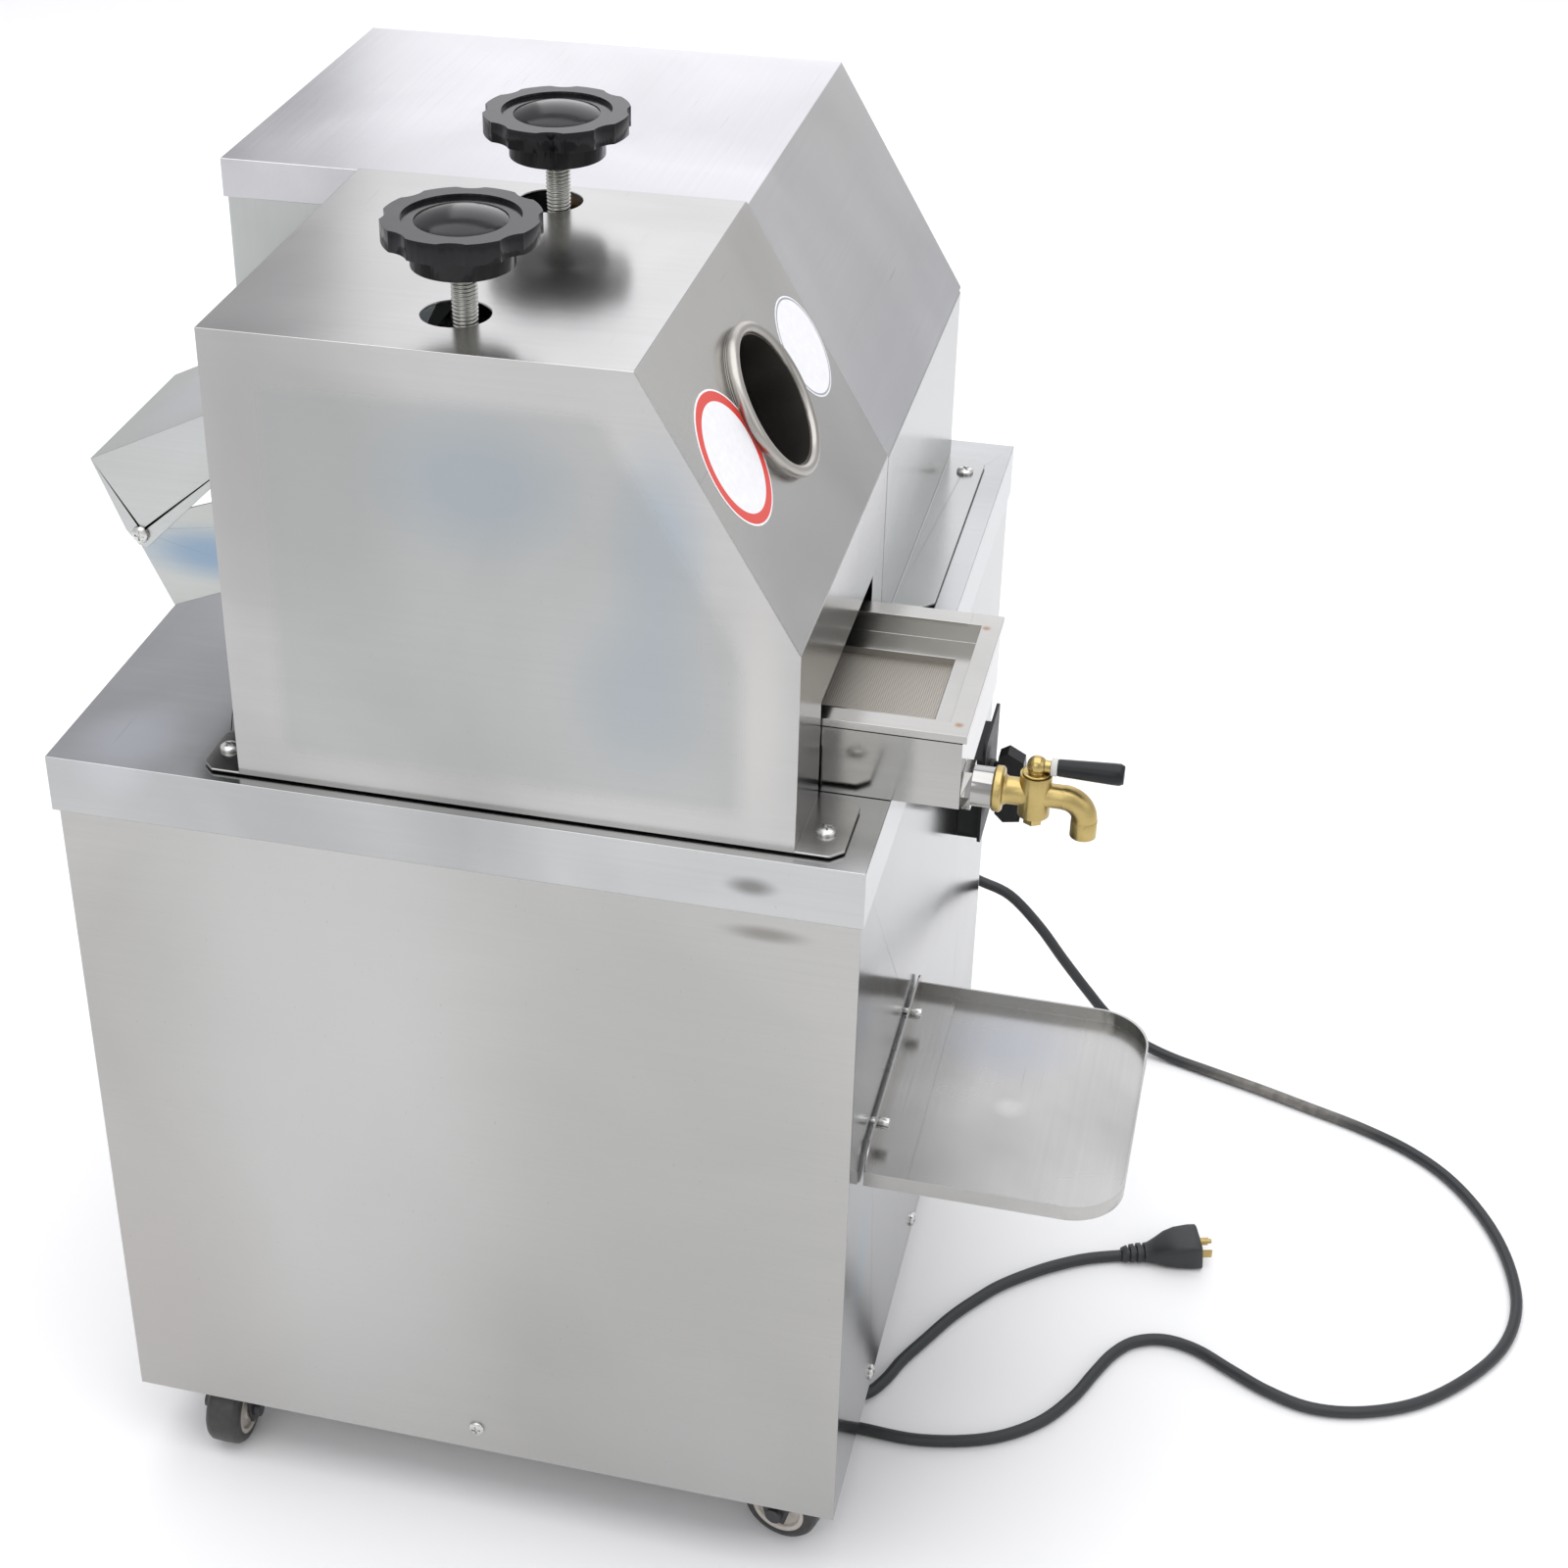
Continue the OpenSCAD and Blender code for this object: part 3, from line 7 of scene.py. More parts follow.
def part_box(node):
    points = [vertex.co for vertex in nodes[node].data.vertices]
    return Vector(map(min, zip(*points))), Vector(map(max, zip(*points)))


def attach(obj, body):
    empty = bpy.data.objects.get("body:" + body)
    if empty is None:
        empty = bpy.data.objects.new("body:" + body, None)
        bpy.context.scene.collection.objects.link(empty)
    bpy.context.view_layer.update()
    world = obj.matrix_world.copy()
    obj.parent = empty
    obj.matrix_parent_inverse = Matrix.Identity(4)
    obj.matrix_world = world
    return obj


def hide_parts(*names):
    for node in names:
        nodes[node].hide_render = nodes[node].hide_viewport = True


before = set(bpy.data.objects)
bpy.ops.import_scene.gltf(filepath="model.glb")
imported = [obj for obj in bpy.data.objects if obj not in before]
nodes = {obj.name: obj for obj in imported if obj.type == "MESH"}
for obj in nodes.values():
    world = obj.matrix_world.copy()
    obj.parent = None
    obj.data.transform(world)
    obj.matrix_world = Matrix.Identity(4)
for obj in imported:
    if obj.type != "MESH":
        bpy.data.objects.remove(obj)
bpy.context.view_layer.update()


# Camera: stands high on the left and looks down across the near side panel
# towards the tap, through a 61 mm lens.
yaw, pitch, roll = math.radians(15.81744), math.radians(-32.08931), math.radians(-0.72240)
ahead = Vector((math.cos(yaw) * math.cos(pitch), math.sin(yaw) * math.cos(pitch), math.sin(pitch)))
level = ahead.cross(Vector((0, 0, 1))).normalized()
upright = level.cross(ahead)
right = math.cos(roll) * level + math.sin(roll) * upright
up = -math.sin(roll) * level + math.cos(roll) * upright
camera_data = bpy.data.cameras.new("camera")
camera_data.lens = 61.363
camera_data.sensor_width = 36
camera_data.shift_x = 0.10861
camera_data.shift_y = -0.01076
camera = bpy.data.objects.new("camera", camera_data)
camera.matrix_world = Matrix((
    (right.x, up.x, -ahead.x, -1.385056),
    (right.y, up.y, -ahead.y, -0.341681),
    (right.z, up.z, -ahead.z, 1.305079),
    (0, 0, 0, 1)))
bpy.context.scene.collection.objects.link(camera)
bpy.context.scene.camera = camera


# Power cord: round black PVC sheath, 8 mm thick, from the gland on the far side down to
# the floor, round in one wide loop, under the front of the cabinet, over itself in a small
# coil there and back out to the plug.
# Part of it has been dragged through dust.
def add_object(name, data, body=None, node=None):
    made = bpy.data.objects.new(name, data)
    bpy.context.scene.collection.objects.link(made)
    if body:
        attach(made, body)
    if node:
        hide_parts(node)
    return made


def machine_point(x, y, z):
    return Vector(((x - 263.5) / 1000, (y - 157.5) / 1000, (z + 54) / 1000))


cord_route = [
    (536, 62, 95), (545, 62, 95), (557, 59.8, 95), (567.5, 53.7, 94.8), (575.3, 44.5, 94),
    (579.3, 33.5, 92.5), (580.5, 21, 90), (580, 6.7, 84.7), (579, -17, 76), (579, -41, 51.5),
    (580, -62, 22.5), (581, -83, -5), (581, -101, -26), (579, -125, -43), (573, -151, -49.5),
    (564, -180, -50), (552, -218, -50), (538, -258, -50), (523, -299, -50), (504, -335, -50),
    (478, -364, -50), (440, -388, -50), (398, -403, -50), (354, -408, -50), (313, -399, -50),
    (276, -376, -50), (245, -345, -50), (227, -310, -50), (222, -277, -50), (230, -248, -50),
    (244, -222, -50), (257, -199, -50), (261, -177, -50), (254, -158, -50), (239, -145, -50),
    (218, -135, -50), (190, -123, -50), (162, -104, -50), (140, -74, -50), (128, -33, -50),
    (128, 7, -50), (129.5, 45, -50), (133, 82, -50), (136.3, 108, -50), (136.8, 125, -50),
    (131.9, 143.2, -50), (118.7, 156.4, -50), (100.5, 161.3, -50), (82.4, 156.4, -50),
    (69.1, 143.2, -50), (64.2, 125, -49.7), (69.1, 106.8, -48), (81.3, 94.2, -45.2),
    (96.7, 88.9, -42.4), (113.5, 86, -41), (128, 79.5, -40.6), (138.5, 66, -41.6), (144, 46, -45),
    (149, 26, -48), (160, 9, -49.6), (176, -0.5, -50), (196, -8, -50), (220, -20, -50),
    (247, -34, -50), (268, -48, -50), (285, -61, -50), (303, -80, -50), (317, -98, -50),
    (329, -118, -50), (337.5, -139, -50)]


def smooth_path(points, steps):
    # Catmull-Rom through the points, the same curve as the solid's
    dense = []
    last = len(points) - 1
    for i in range(last):
        a, b, c, d = points[max(0, i - 1)], points[i], points[i + 1], points[min(last, i + 2)]
        for k in range(steps):
            u = k / steps
            dense.append(0.5 * (2 * b + (c - a) * u + (2 * a - 5 * b + 4 * c - d) * u * u
                                + (3 * b - a - 3 * c + d) * u ** 3))
    dense.append(points[-1])
    return dense


# The thickness sits in each point's radius, which is what the curve's box is grown by.
cord_radius = 0.004
cord_line = smooth_path([machine_point(*p) for p in cord_route], 6)
cord_curve = bpy.data.curves.new("power_cord", "CURVE")
cord_curve.dimensions = "3D"
cord_curve.bevel_depth = 1.0
cord_curve.bevel_resolution = 6
spline = cord_curve.splines.new("POLY")
spline.points.add(len(cord_line) - 1)
for point, place in zip(spline.points, cord_line):
    point.co = (*place, 1)
    point.radius = cord_radius
cord = add_object("power_cord_sheath", cord_curve, "cabinet", "power_cord")


# Materials are built from nodes as each piece needs them. This first helper starts one,
# wires its shader and hands back a small function that adds nodes.
def new_material(name):
    material = bpy.data.materials.new(name)
    material.use_nodes = True
    tree = material.node_tree
    shader = tree.nodes["Principled BSDF"]

    def add(kind, **settings):
        node = tree.nodes.new(kind)
        for key, value in settings.items():
            if isinstance(value, bpy.types.NodeSocket):
                tree.links.new(value, node.inputs[key])
            elif key in node.inputs.keys():
                node.inputs[key].default_value = value
            else:
                setattr(node, key, value)
        return node
    return material, tree, shader, add


def link(tree, source, target):
    tree.links.new(source, target)


def mix_colour(add, tree, share, first, second):
    mix = add("ShaderNodeMix", data_type="RGBA")
    for socket, value in ((mix.inputs[0], share), (mix.inputs[6], first), (mix.inputs[7], second)):
        if isinstance(value, bpy.types.NodeSocket):
            link(tree, value, socket)
        else:
            socket.default_value = value
    return mix.outputs[2]


def spot(add, tree, place, centre, radii):
    # 1 in the middle of a soft-edged oval, falling to 0 at its rim
    moved = add("ShaderNodeVectorMath", operation="SUBTRACT")
    link(tree, place, moved.inputs[0])
    moved.inputs[1].default_value = centre
    scaled = add("ShaderNodeVectorMath", operation="DIVIDE")
    link(tree, moved.outputs[0], scaled.inputs[0])
    scaled.inputs[1].default_value = radii
    length = add("ShaderNodeVectorMath", operation="LENGTH")
    link(tree, scaled.outputs[0], length.inputs[0])
    fall = add("ShaderNodeMapRange", interpolation_type="SMOOTHSTEP")
    link(tree, length.outputs["Value"], fall.inputs["Value"])
    fall.inputs["From Min"].default_value = 0.15
    fall.inputs["From Max"].default_value = 1.0
    fall.inputs["To Min"].default_value = 1.0
    fall.inputs["To Max"].default_value = 0.0
    return fall.outputs[0]


sheath, tree, shader, add = new_material("cord_sheath")
place = add("ShaderNodeTexCoord").outputs["Object"]
dust_noise = add("ShaderNodeTexNoise", Vector=place, Scale=140.0, Detail=6.0).outputs["Fac"]
dust = add("ShaderNodeMath", operation="MULTIPLY")
link(tree, spot(add, tree, place, machine_point(545, -240, -48), (0.05, 0.11, 0.03)), dust.inputs[0])
link(tree, dust_noise, dust.inputs[1])
link(tree, mix_colour(add, tree, dust.outputs[0], (0.018, 0.02, 0.022, 1), (0.30, 0.28, 0.25, 1)),
     shader.inputs["Base Color"])
grain = add("ShaderNodeTexNoise", Vector=place, Scale=900.0, Detail=3.0).outputs["Fac"]
ridge = add("ShaderNodeBump", Strength=0.12, Distance=0.0004, Height=grain)
link(tree, ridge.outputs[0], shader.inputs["Normal"])
shader.inputs["Roughness"].default_value = 0.46
cord_curve.materials.append(sheath)


# Sheet metal: every stainless piece is folded from brushed sheet. The grain runs along
# one direction, roughness wanders, and handling has left fine scratches. Soft oval patches
# laid on the colour are partly real marks and tints and partly painted reflections.
# Edges are eased a little, as a folded or sheared edge is.
def brushed_steel(name, colour, grain, rough=0.27, cloud=0.16, marks_and_reflections=(), anisotropic=0.35):
    material, tree, shader, add = new_material(name)
    place = add("ShaderNodeTexCoord").outputs["Object"]
    fine_map = add("ShaderNodeMapping", Vector=place, Scale=grain)
    fine = add("ShaderNodeTexNoise", Vector=fine_map.outputs[0], Scale=1.0, Detail=5.0,
               Roughness=0.7).outputs["Fac"]
    broad = add("ShaderNodeTexNoise", Vector=place, Scale=5.5, Detail=3.0, Roughness=0.45,
                Distortion=0.6).outputs["Fac"]
    darker = tuple(c * (1 - cloud) for c in colour) + (1,)
    lighter = tuple(min(1.0, c * (1 + cloud)) for c in colour) + (1,)
    clouds = add("ShaderNodeMapRange", Value=broad)
    clouds.inputs["From Min"].default_value = 0.32
    clouds.inputs["From Max"].default_value = 0.68
    shade = mix_colour(add, tree, clouds.outputs[0], darker, lighter)
    streak = add("ShaderNodeMapRange", Value=fine)
    streak.inputs["From Min"].default_value = 0.3
    streak.inputs["From Max"].default_value = 0.75
    streak.inputs["To Min"].default_value = 0.0
    streak.inputs["To Max"].default_value = 0.18
    shade = mix_colour(add, tree, streak.outputs[0], shade, tuple(c * 0.72 for c in colour) + (1,))
    # each patch mixes its tint into the colour; the calls below say which patches are painted reflections
    # and which are real marks
    for centre, radii, tint, strength in marks_and_reflections:
        share = add("ShaderNodeMath", operation="MULTIPLY")
        link(tree, spot(add, tree, place, centre, radii), share.inputs[0])
        share.inputs[1].default_value = strength
        shade = mix_colour(add, tree, share.outputs[0], shade, tuple(tint) + (1,))
    # a few short scratches, where a stretched noise crosses a narrow band
    turned = add("ShaderNodeMapping", Vector=place, Rotation=(0.4, 0.7, 0.5), Scale=(14, 900, 260))
    cut = add("ShaderNodeTexNoise", Vector=turned.outputs[0], Scale=1.0, Detail=1.0).outputs["Fac"]
    line = add("ShaderNodeMapRange", Value=cut)
    line.inputs["From Min"].default_value = 0.77
    line.inputs["From Max"].default_value = 0.80
    line.inputs["To Max"].default_value = 0.35
    shade = mix_colour(add, tree, line.outputs[0], shade, tuple(c * 0.45 for c in colour) + (1,))
    link(tree, shade, shader.inputs["Base Color"])
    dull = add("ShaderNodeMapRange", Value=broad)
    dull.inputs["To Min"].default_value = rough - 0.06
    dull.inputs["To Max"].default_value = rough + 0.10
    link(tree, dull.outputs[0], shader.inputs["Roughness"])
    grooves = add("ShaderNodeBump", Strength=0.05, Distance=0.0002, Height=fine)
    waves = add("ShaderNodeTexNoise", Vector=place, Scale=7.0, Detail=1.0).outputs["Fac"]
    dents = add("ShaderNodeBump", Strength=0.10, Distance=0.004, Height=waves,
                Normal=grooves.outputs[0])
    link(tree, dents.outputs[0], shader.inputs["Normal"])
    shader.inputs["Metallic"].default_value = 1.0
    shader.inputs["Anisotropic"].default_value = anisotropic
    return material


def dress(name, material, edge=0.0):
    # gives a solid its material and, where asked, eased edges
    piece = nodes[name]
    piece.data.materials.clear()
    piece.data.materials.append(material)
    for polygon in piece.data.polygons:
        polygon.material_index = 0
    if edge:
        weld = piece.modifiers.new("weld", "WELD")
        weld.merge_threshold = 0.00001
        bevel = piece.modifiers.new("eased edges", "BEVEL")
        bevel.width = edge
        bevel.segments = 2
        bevel.limit_method = "ANGLE"
        bevel.angle_limit = math.radians(32)
        bevel.harden_normals = True
    return piece


# Side, front and back panels: 1.2 mm stainless sheet with folded flanges, tucked under
# the cap and held by cross-head screws. The near one is dull and warm, with soft light and
# dark patches painted on as reflections; the front one is nearly a mirror, its colour
# painted darker as shade, with painted reflections.
# Each grain is a noise scale per axis: small along the brushing, large across it.
upright_grain = (420, 420, 5)
sideways_grain = (5, 420, 420)
lengthways_grain = (420, 5, 420)
# Painted reflections: the four large soft light and dark patches below are reflections painted on the near
# panel; the small dark mark high at the front is a mark on the sheet.
near_panel = brushed_steel("panel_left_steel", (0.43, 0.425, 0.41), lengthways_grain, 0.30, 0.08, [
    (machine_point(0, 300, 230), (0.2, 0.15, 0.60), (0.53, 0.53, 0.52), 0.6),
    (machine_point(0, 110, 250), (0.2, 0.14, 0.50), (0.38, 0.38, 0.37), 0.4),
    (machine_point(0, 90, 20), (0.2, 0.14, 0.12), (0.48, 0.48, 0.47), 0.5),
    (machine_point(0, 430, 90), (0.2, 0.10, 0.20), (0.42, 0.40, 0.38), 0.6),
    (machine_point(0, 52, 428), (0.02, 0.030, 0.007), (0.20, 0.19, 0.17), 0.7)])
dress("left_panel", near_panel)
dress("right_panel", brushed_steel(
    "panel_right_steel", (0.52, 0.50, 0.46), lengthways_grain, 0.33, 0.08), 0.0004)
dress("back_panel", brushed_steel(
    "panel_back_steel", (0.50, 0.49, 0.46), sideways_grain, 0.33, 0.08), 0.0004)
# Painted shade and reflections: the front panel's colour is set far darker than the other sheets to dim
# the bright room it reflects, and its blue patch and dark upright band are painted reflections.
dress("front_panel", brushed_steel(
    "panel_front_steel", (0.19, 0.195, 0.19), upright_grain, 0.12, 0.14,
    [(machine_point(60, 0, 160), (0.03, 0.02, 0.06), (0.10, 0.24, 0.34), 0.6),
     (machine_point(20, 0, 330), (0.05, 0.02, 0.16), (0.12, 0.13, 0.14), 0.7)], 0.2), 0.0004)
dress("bottom_plate", brushed_steel("bottom_steel", (0.45, 0.45, 0.44), sideways_grain, 0.4, 0.1))


# Top cap: one sheet folded down on all sides over the panels, corners closed. The near lip
# carries a long dark scratch and a few dents. A bright bluish patch on the top, at the back
# of the near edge, is a painted reflection.
dress("top_cap", brushed_steel(
    "cap_steel", (0.43, 0.435, 0.435), lengthways_grain, 0.19, 0.16,
    [(machine_point(0, 60, 458), (0.012, 0.018, 0.008), (0.16, 0.16, 0.15), 0.8),
     (machine_point(30, 420, 476), (0.05, 0.04, 0.03), (0.58, 0.60, 0.65), 0.6)]), 0.0005)


# Roller cover: folded cover with welded and polished corners. The middle of its near side
# was left dull and has a heat bloom in blue; a polished band runs round it. In that band a
# dark upright band at the back and a light one at the front are painted reflections.
cover_steel = brushed_steel(
    "roller_cover_steel", (0.44, 0.435, 0.425), lengthways_grain, 0.17, 0.14,
    [(machine_point(8, 205, 668), (0.03, 0.075, 0.055), (0.26, 0.34, 0.41), 0.60),
     (machine_point(8, 112, 640), (0.03, 0.035, 0.085), (0.27, 0.35, 0.42), 0.50),
     (machine_point(8, 122, 560), (0.03, 0.050, 0.070), (0.28, 0.36, 0.43), 0.50),
     # painted reflections: the dark upright band at the back and the light one at the front
     (machine_point(8, 330, 650), (0.03, 0.030, 0.120), (0.34, 0.33, 0.32), 0.50),
     (machine_point(8, 60, 560), (0.03, 0.022, 0.110), (0.54, 0.53, 0.51), 0.60)])
# The dull middle lies inside five lines: front, back, foot, top and slope. Each is a
# direction and a distance along it, in metres.
dull_lines = (((0, 1, 0), -0.0915), ((0, -1, 0), -0.1645), ((0, 0, 1), 0.548),
              ((0, 0, -1), -0.768), ((0, 0.8609, -0.5087), -0.4059))
dull_colour, dull_rough, dull_share = (0.36, 0.375, 0.37, 1), (0.36, 0.36, 0.36, 1), 0.45
tree = cover_steel.node_tree
shader = tree.nodes["Principled BSDF"]
place = tree.nodes.new("ShaderNodeTexCoord").outputs["Object"]
dull = None
for normal, edge in dull_lines:
    reach = tree.nodes.new("ShaderNodeVectorMath")
    reach.operation = "DOT_PRODUCT"
    tree.links.new(place, reach.inputs[0])
    reach.inputs[1].default_value = normal
    inside = tree.nodes.new("ShaderNodeMapRange")
    tree.links.new(reach.outputs["Value"], inside.inputs["Value"])
    inside.inputs["From Min"].default_value = edge - 0.003
    inside.inputs["From Max"].default_value = edge + 0.008
    if dull:
        both = tree.nodes.new("ShaderNodeMath")
        both.operation = "MULTIPLY"
        tree.links.new(dull, both.inputs[0])
        tree.links.new(inside.outputs[0], both.inputs[1])
        dull = both.outputs[0]
    else:
        dull = inside.outputs[0]
for socket, inner in (("Base Color", dull_colour), ("Roughness", dull_rough)):
    before = shader.inputs[socket].links[0].from_socket
    mix = tree.nodes.new("ShaderNodeMix")
    mix.data_type = "RGBA"
    if socket == "Base Color":
        part_of = tree.nodes.new("ShaderNodeMath")
        part_of.operation = "MULTIPLY"
        part_of.inputs[1].default_value = dull_share
        tree.links.new(dull, part_of.inputs[0])
        tree.links.new(part_of.outputs[0], mix.inputs[0])
    else:
        tree.links.new(dull, mix.inputs[0])
    tree.links.new(before, mix.inputs[6])
    mix.inputs[7].default_value = inner
    tree.links.new(mix.outputs[2], shader.inputs[socket])
dress("roller_cover", cover_steel, 0.0005)


# Gear cover: a box with a separate lid. The lid's lip stands 2 mm proud of the walls.
dress("gear_housing", brushed_steel(
    "gear_housing_steel", (0.42, 0.43, 0.42), upright_grain, 0.22, 0.12), 0.0005)
dress("gear_lid", brushed_steel(
    "gear_lid_steel", (0.50, 0.50, 0.515), sideways_grain, 0.19, 0.14), 0.0006)


# Feed collar: a steel tube with a rolled rim, welded into the sloping face. Its bore is dark.
turned_grain = (200, 200, 200)
dress("feed_collar", brushed_steel("collar_steel", (0.36, 0.345, 0.32), turned_grain, 0.28, 0.3))


# Juice tray, strainer, chute and shelf: thin folded sheet, spot-welded at the corners.
dress("juice_tray", brushed_steel("tray_steel", (0.38, 0.375, 0.36), lengthways_grain, 0.11, 0.24), 0.0004)
dress("strainer_frame", brushed_steel(
    "strainer_steel", (0.42, 0.415, 0.395), lengthways_grain, 0.16, 0.2,
    [(machine_point(82, -32, 522), (0.0035, 0.0035, 0.004), (0.30, 0.18, 0.10), 0.9),
     (machine_point(189, -30, 522), (0.0035, 0.0035, 0.004), (0.30, 0.18, 0.10), 0.9)]), 0.0003)
dress("discharge_duct", brushed_steel(
    "duct_steel", (0.44, 0.45, 0.43), lengthways_grain, 0.22, 0.18,
    [(machine_point(82, 385, 570), (0.03, 0.06, 0.022), (0.20, 0.30, 0.42), 0.8)]), 0.0004)
# Painted reflection: the large light bluish patch on the hood.
dress("chute_hood", brushed_steel(
    "hood_steel", (0.45, 0.46, 0.45), lengthways_grain, 0.25, 0.2,
    [(machine_point(140, 400, 645), (0.08, 0.06, 0.03), (0.60, 0.60, 0.66), 0.5)]), 0.0004)
dress("cup_shelf", brushed_steel(
    "shelf_steel", (0.40, 0.395, 0.38), sideways_grain, 0.24, 0.2,
    [(machine_point(129, -71, 235.2), (0.012, 0.012, 0.005), (0.50, 0.49, 0.47), 0.7),
     (machine_point(190, -60, 235.2), (0.05, 0.06, 0.01), (0.34, 0.365, 0.41), 0.5)]), 0.0004)


# Strainer floor: woven stainless wire, fine enough that the weave reads as a grey texture.
# Its openings are painted dark, as painted shade from the space below.
weave, tree, shader, add = new_material("woven_wire")
place = add("ShaderNodeTexCoord").outputs["Object"]
across = add("ShaderNodeTexWave", Vector=place, Scale=260.0, bands_direction="X").outputs["Fac"]
along = add("ShaderNodeTexWave", Vector=place, Scale=260.0, bands_direction="Y").outputs["Fac"]
crossed = add("ShaderNodeMath", operation="MULTIPLY")
link(tree, across, crossed.inputs[0])
link(tree, along, crossed.inputs[1])
# painted shade: where the weave opens, the colour turns dark
link(tree, mix_colour(add, tree, crossed.outputs[0], (0.46, 0.43, 0.38, 1), (0.12, 0.11, 0.10, 1)),
     shader.inputs["Base Color"])
wires = add("ShaderNodeBump", Strength=0.4, Distance=0.0004, Height=crossed.outputs[0])
link(tree, wires.outputs[0], shader.inputs["Normal"])
shader.inputs["Metallic"].default_value = 0.85
shader.inputs["Roughness"].default_value = 0.42
dress("strainer_mesh", weave)


# Machined and cast parts: turned steel rollers and gears with cutting marks, dark painted
# castings with an orange-peel skin, and plain bronze bearings.
def rough_part(name, colour, metal, rough, grain_scale, grain_depth, variety=0.25):
    material, tree, shader, add = new_material(name)
    place = add("ShaderNodeTexCoord").outputs["Object"]
    broad = add("ShaderNodeTexNoise", Vector=place, Scale=32.0, Detail=5.0).outputs["Fac"]
    fine = add("ShaderNodeTexNoise", Vector=place, Scale=grain_scale, Detail=4.0).outputs["Fac"]
    dark = tuple(c * (1 - variety) for c in colour) + (1,)
    light = tuple(min(1.0, c * (1 + variety)) for c in colour) + (1,)
    link(tree, mix_colour(add, tree, broad, dark, light), shader.inputs["Base Color"])
    spread = add("ShaderNodeMapRange", Value=fine)
    spread.inputs["To Min"].default_value = max(0.05, rough - 0.08)
    spread.inputs["To Max"].default_value = min(1.0, rough + 0.12)
    link(tree, spread.outputs[0], shader.inputs["Roughness"])
    skin = add("ShaderNodeBump", Strength=0.25, Distance=grain_depth, Height=fine)
    link(tree, skin.outputs[0], shader.inputs["Normal"])
    shader.inputs["Metallic"].default_value = metal
    return material


turned = rough_part("turned_steel", (0.52, 0.52, 0.51), 1.0, 0.28, 500.0, 0.0003)
for name in ("front_roller", "rear_roller", "top_roller", "countershaft", "motor_shaft", "scrapers"):
    dress(name, turned, 0.0004)
cut_gear = rough_part("cut_gear_steel", (0.30, 0.30, 0.30), 1.0, 0.38, 420.0, 0.0004)
for name in ("front_gear", "rear_gear", "top_gear", "bull_gear", "pinion"):
    dress(name, cut_gear, 0.0003)
casting = rough_part("painted_casting", (0.055, 0.058, 0.06), 0.0, 0.5, 260.0, 0.0009)
for name in ("cheek_plates", "bearing_blocks", "pillow_blocks", "large_pulley", "motor_pulley"):
    dress(name, casting, 0.0006)
dress("base_frame", rough_part("frame_paint", (0.05, 0.05, 0.055), 0.0, 0.55, 180.0, 0.0006))
dress("motor", rough_part("motor_enamel", (0.05, 0.12, 0.24), 0.0, 0.38, 240.0, 0.0007), 0.0006)
dress("bushes", rough_part("bearing_bronze", (0.52, 0.34, 0.15), 1.0, 0.32, 300.0, 0.0003), 0.0003)
dress("drive_belt", rough_part("belt_rubber", (0.02, 0.02, 0.02), 0.0, 0.7, 600.0, 0.0005), 0.0004)
zinc = rough_part("zinc_plating", (0.62, 0.62, 0.60), 1.0, 0.24, 350.0, 0.0002, 0.15)
for name in ("tie_rods", "caster_plates"):
    dress(name, zinc, 0.0004)


# Pressure screws: M14 threaded rods of zinc-plated steel with a 2 mm pitch, turned by the
# knobs and running down into the bearing blocks of the top roller. Rings of points follow
# the thread's flanks.
thread_zinc = rough_part("thread_zinc", (0.46, 0.46, 0.43), 1.0, 0.26, 60.0, 0.0001, 0.12)
pitch, ring_step, around = 0.002, 0.0004, 28
crest, depth = 0.0068, 0.0012
for name, body, x in (("left_screw", "left_pressure_screw", 56),
                      ("right_screw", "right_pressure_screw", 220)):
    low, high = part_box(name)
    rings = int((high.z - low.z) / ring_step)
    rod = bmesh.new()
    loops = []
    for i in range(rings + 1):
        z = low.z + (high.z - low.z) * i / rings
        loop = []
        for k in range(around):
            turn = k / around
            wave = abs((((z - low.z) / pitch - turn) % 1.0) * 2 - 1)
            r = crest - depth * min(1.0, max(0.0, wave * 1.25 - 0.12))
            angle = 2 * math.pi * turn
            centre = machine_point(x, 223, 0)
            loop.append(rod.verts.new((centre.x + r * math.cos(angle), centre.y + r * math.sin(angle), z)))
        loops.append(loop)
    for lower, upper in zip(loops, loops[1:]):
        for k in range(around):
            rod.faces.new((lower[k], lower[(k + 1) % around], upper[(k + 1) % around], upper[k]))
    rod.faces.new(reversed(loops[0]))
    rod.faces.new(loops[-1])
    mesh = bpy.data.meshes.new(name + "_thread")
    rod.to_mesh(mesh)
    rod.free()
    mesh.shade_smooth()
    mesh.materials.append(thread_zinc)
    add_object(name + "_thread", mesh, body, name)


